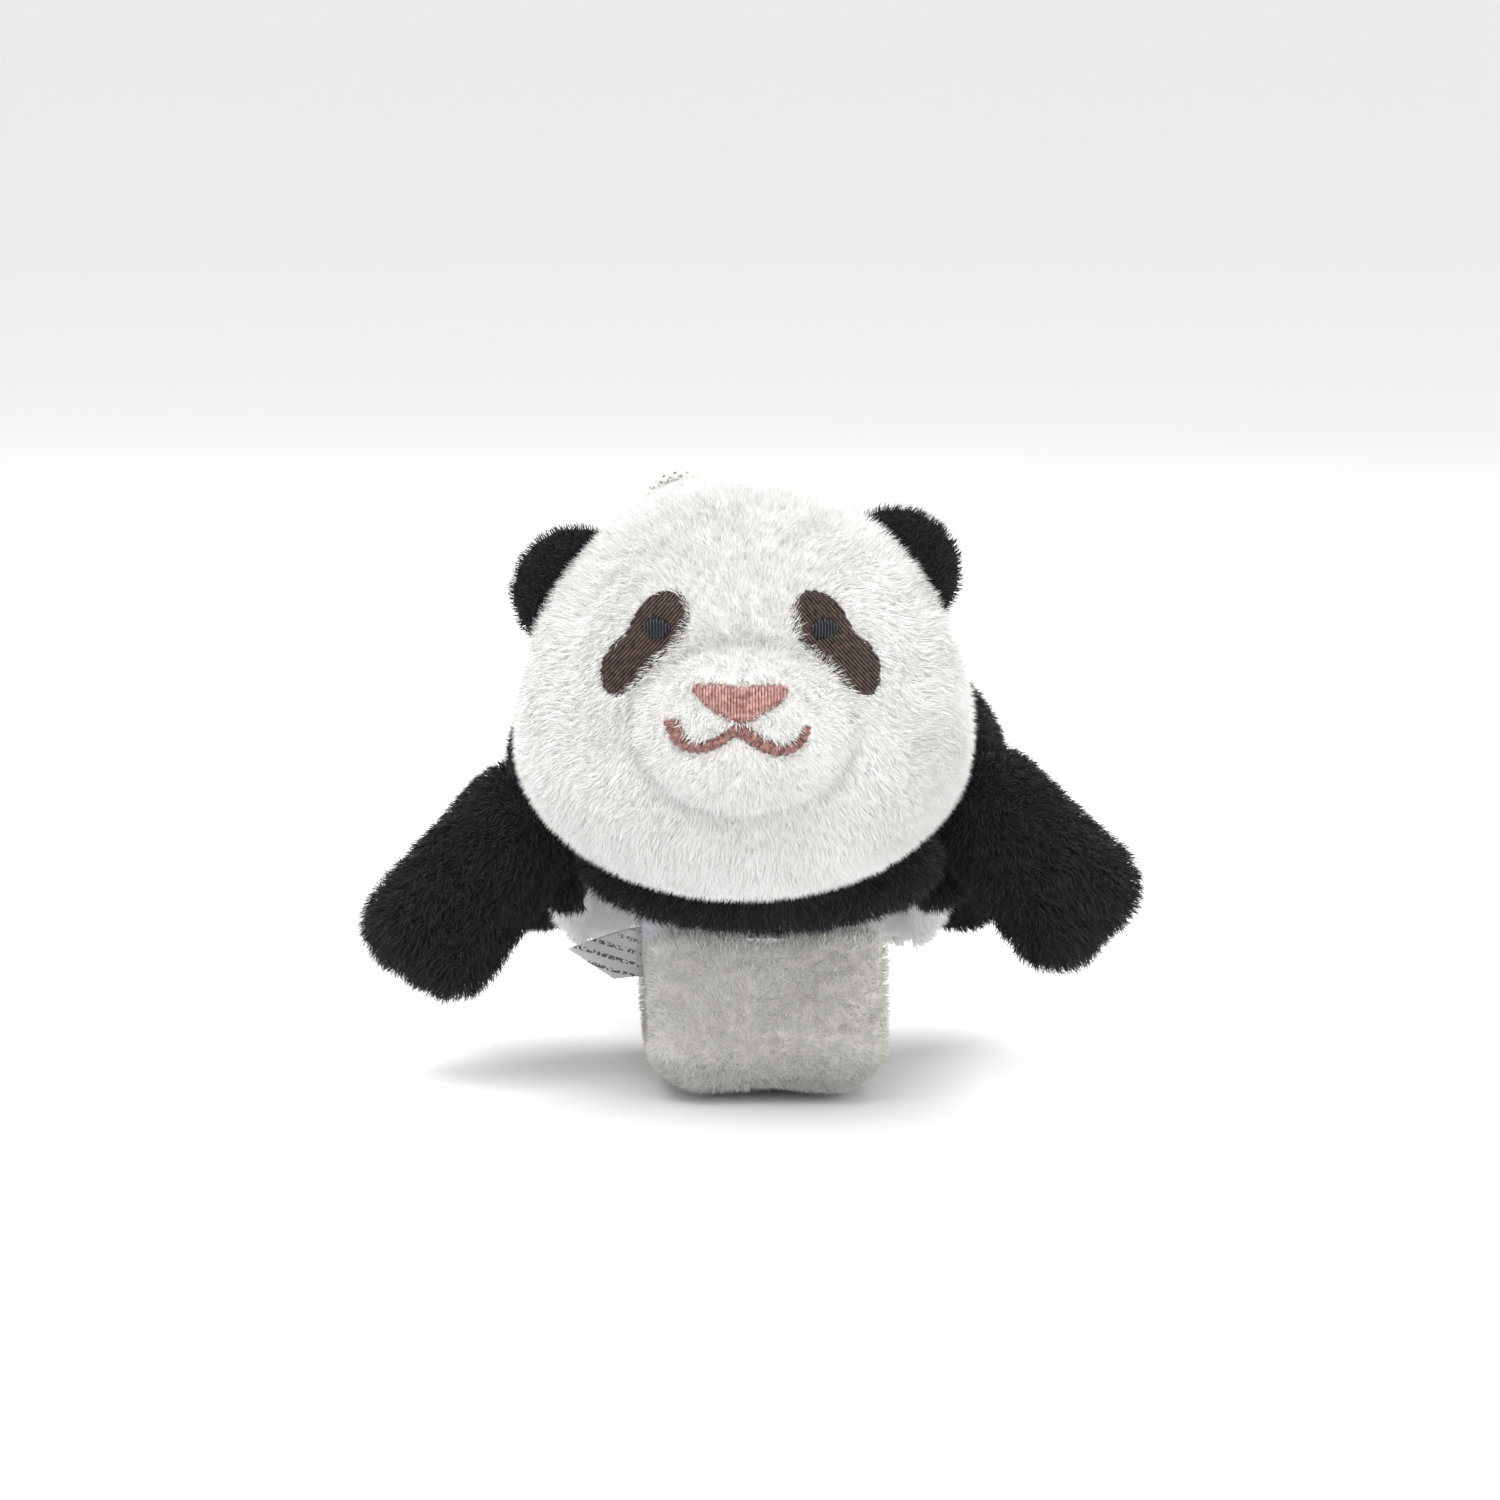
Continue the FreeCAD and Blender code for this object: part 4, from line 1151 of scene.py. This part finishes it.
def dip_free_end(points):
    """Bend the middle of the free end back and down."""
    rise = np.clip((points[:, 2] - 16.0) / (FREE_END - 16.0), 0, 1.1) ** 1.5
    middle = np.exp(-((points[:, 0] - FREE_SHIFT + 2.0) / 9.0) ** 2)
    points[:, 1] += DIP_BACK * rise * middle
    points[:, 2] -= DIP_DOWN * rise * middle


def shape_foot(points):
    """Curl the foot's edges up, and lift its middle line and its front."""
    lead = points[:, 0] - np.interp(points[:, 1], [FLAT_FRONT, RING - REAR], [FREE_SHIFT, 0.6])
    low = np.clip(1.0 - points[:, 2] / 14.0, 0, 1)
    edge = np.clip((np.abs(lead) - 10.5) / 9.5, 0, 1) ** 2.2
    points[:, 2] += low * (EDGE_CURL * edge + MIDDLE_LIFT * np.exp(-(lead / 6.0) ** 2))
    points[:, 2] += low * FRONT_LIFT * np.clip((-points[:, 1] - 4.0) / 22.0, 0, 1) ** 1.4


edges = [0.0] + CUTS + [BAND_END]
for index in range(len(edges) - 1):
    start, end = edges[index], edges[index + 1]
    last = index == len(edges) - 2
    points, faces = band_skin(start, end, close_end=last)
    name = "belly_band_cloth" if index == 0 else f"band_cloth_{index}"
    if last:
        dip_free_end(points)
    shape_foot(points)
    skin = mesh_from(name, points, faces)
    keep_above_floor(skin)
    skin.data.materials.append(LINING if index == 0 else BAND_BACKING)
    _, make = pile(skin, 1.6, BAND, band_comb, seed=40 + index, keep=on_outer_face, dense=1.3, width=0.14,
                   clump=0.12, stray=0.13)
    hair = make(f"band_pile_{index}")
    keep_above_floor(hair)
    nodes = ["belly_lining"] if index == 0 else []
    if 1 <= index <= 6:
        nodes = [f"band_cover_{index}"]
    for piece in (skin, hair):
        if index == 0:
            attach(piece, "body")
        elif last:
            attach(piece, "link_6")
        else:
            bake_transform(piece)
    if nodes:
        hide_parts(*nodes)

# ---- build: trim
label = care_label()
stand_in(label, "body", ["care_label"], satin_material())

line, cord_length = loop_line()
cord = braided_cord(line, cord_length)
CORD = shader("white_cord", (0.84, 0.83, 0.80), 0.7, 0.3)
speckle(CORD, (0.66, 0.64, 0.60), (0.88, 0.87, 0.84), 1500.0)
add_bump(CORD, fine_noise(5000.0), 0.4, 0.06)
stand_in(cord, "body", ["hang_loop"], CORD)

STEEL = add_bump(shader("spring_steel", (0.55, 0.55, 0.56), 0.35), fine_noise(4000.0), 0.2, 0.02)
STEEL.node_tree.nodes["Principled BSDF"].inputs["Metallic"].default_value = 1.0
for node_name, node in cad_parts.items():
    if "steel" in node_name:
        node.data.materials.clear()
        node.data.materials.append(STEEL)


# ---- floor, light and camera
def backdrop():
    """A pale floor that curves up into a wall."""
    width, near, far, height, bend = 7000.0, -3500.0, 6500.0, 5200.0, 3000.0
    profile = [(near, 0.0), (far - bend, 0.0)]
    for turn in np.linspace(0, math.pi / 2, 16):
        profile.append((far - bend + bend * math.sin(turn), bend - bend * math.cos(turn)))
    profile.append((far, height))
    points = [(x, y, z) for y, z in profile for x in (-width, width)]
    faces = [(2 * i, 2 * i + 1, 2 * i + 3, 2 * i + 2) for i in range(len(profile) - 1)]
    sweep = mesh_from("backdrop", points, faces)
    sweep.data.materials.append(shader("pale_paper", (0.97, 0.97, 0.97), 0.8))


def area_light(name, place, aim, size, power):
    light = bpy.data.lights.new(name, "AREA")
    light.shape = "DISK"
    light.size = size * MM
    light.energy = power
    thing = new_object(name, light)
    thing.location = Vector(place) * MM
    thing.rotation_euler = (Vector(aim) * MM - thing.location).to_track_quat("-Z", "Y").to_euler()


backdrop()
TARGET = (0.0, -10.0, 52.0)
area_light("key", (-160, -420, 760), TARGET, 520, 5.0)
area_light("fill", (520, -520, 320), TARGET, 520, 1.2)
area_light("rim", (120, 420, 520), TARGET, 420, 2.4)
world = bpy.data.worlds.new("studio")
world.use_nodes = True
world.node_tree.nodes["Background"].inputs["Color"].default_value = (1, 1, 1, 1)
world.node_tree.nodes["Background"].inputs["Strength"].default_value = 0.86
bpy.context.scene.world = world
bpy.context.scene.view_settings.view_transform = "Standard"

camera = bpy.data.objects.new("camera", bpy.data.cameras.new("camera"))
bpy.context.scene.collection.objects.link(camera)
ELEVATION = math.radians(10.0)
DISTANCE = 900.0
# the view's width at the point aimed at, and how far up the picture and forwards that point is
VIEW_WIDTH, SENSOR = 250.0, 36.0
AIM_UP, AIM_FORWARD = 55.5, 30.0
direction = Vector((0.0, -math.cos(ELEVATION), math.sin(ELEVATION)))
up = Vector((0.0, math.sin(ELEVATION), math.cos(ELEVATION)))
aim = up * AIM_UP + direction * AIM_FORWARD
camera.location = (aim + direction * DISTANCE) * MM
camera.rotation_euler = (-direction).to_track_quat("-Z", "Y").to_euler()
camera.data.lens = SENSOR * DISTANCE / VIEW_WIDTH
camera.data.clip_start, camera.data.clip_end = 0.05, 20.0
bpy.context.scene.camera = camera
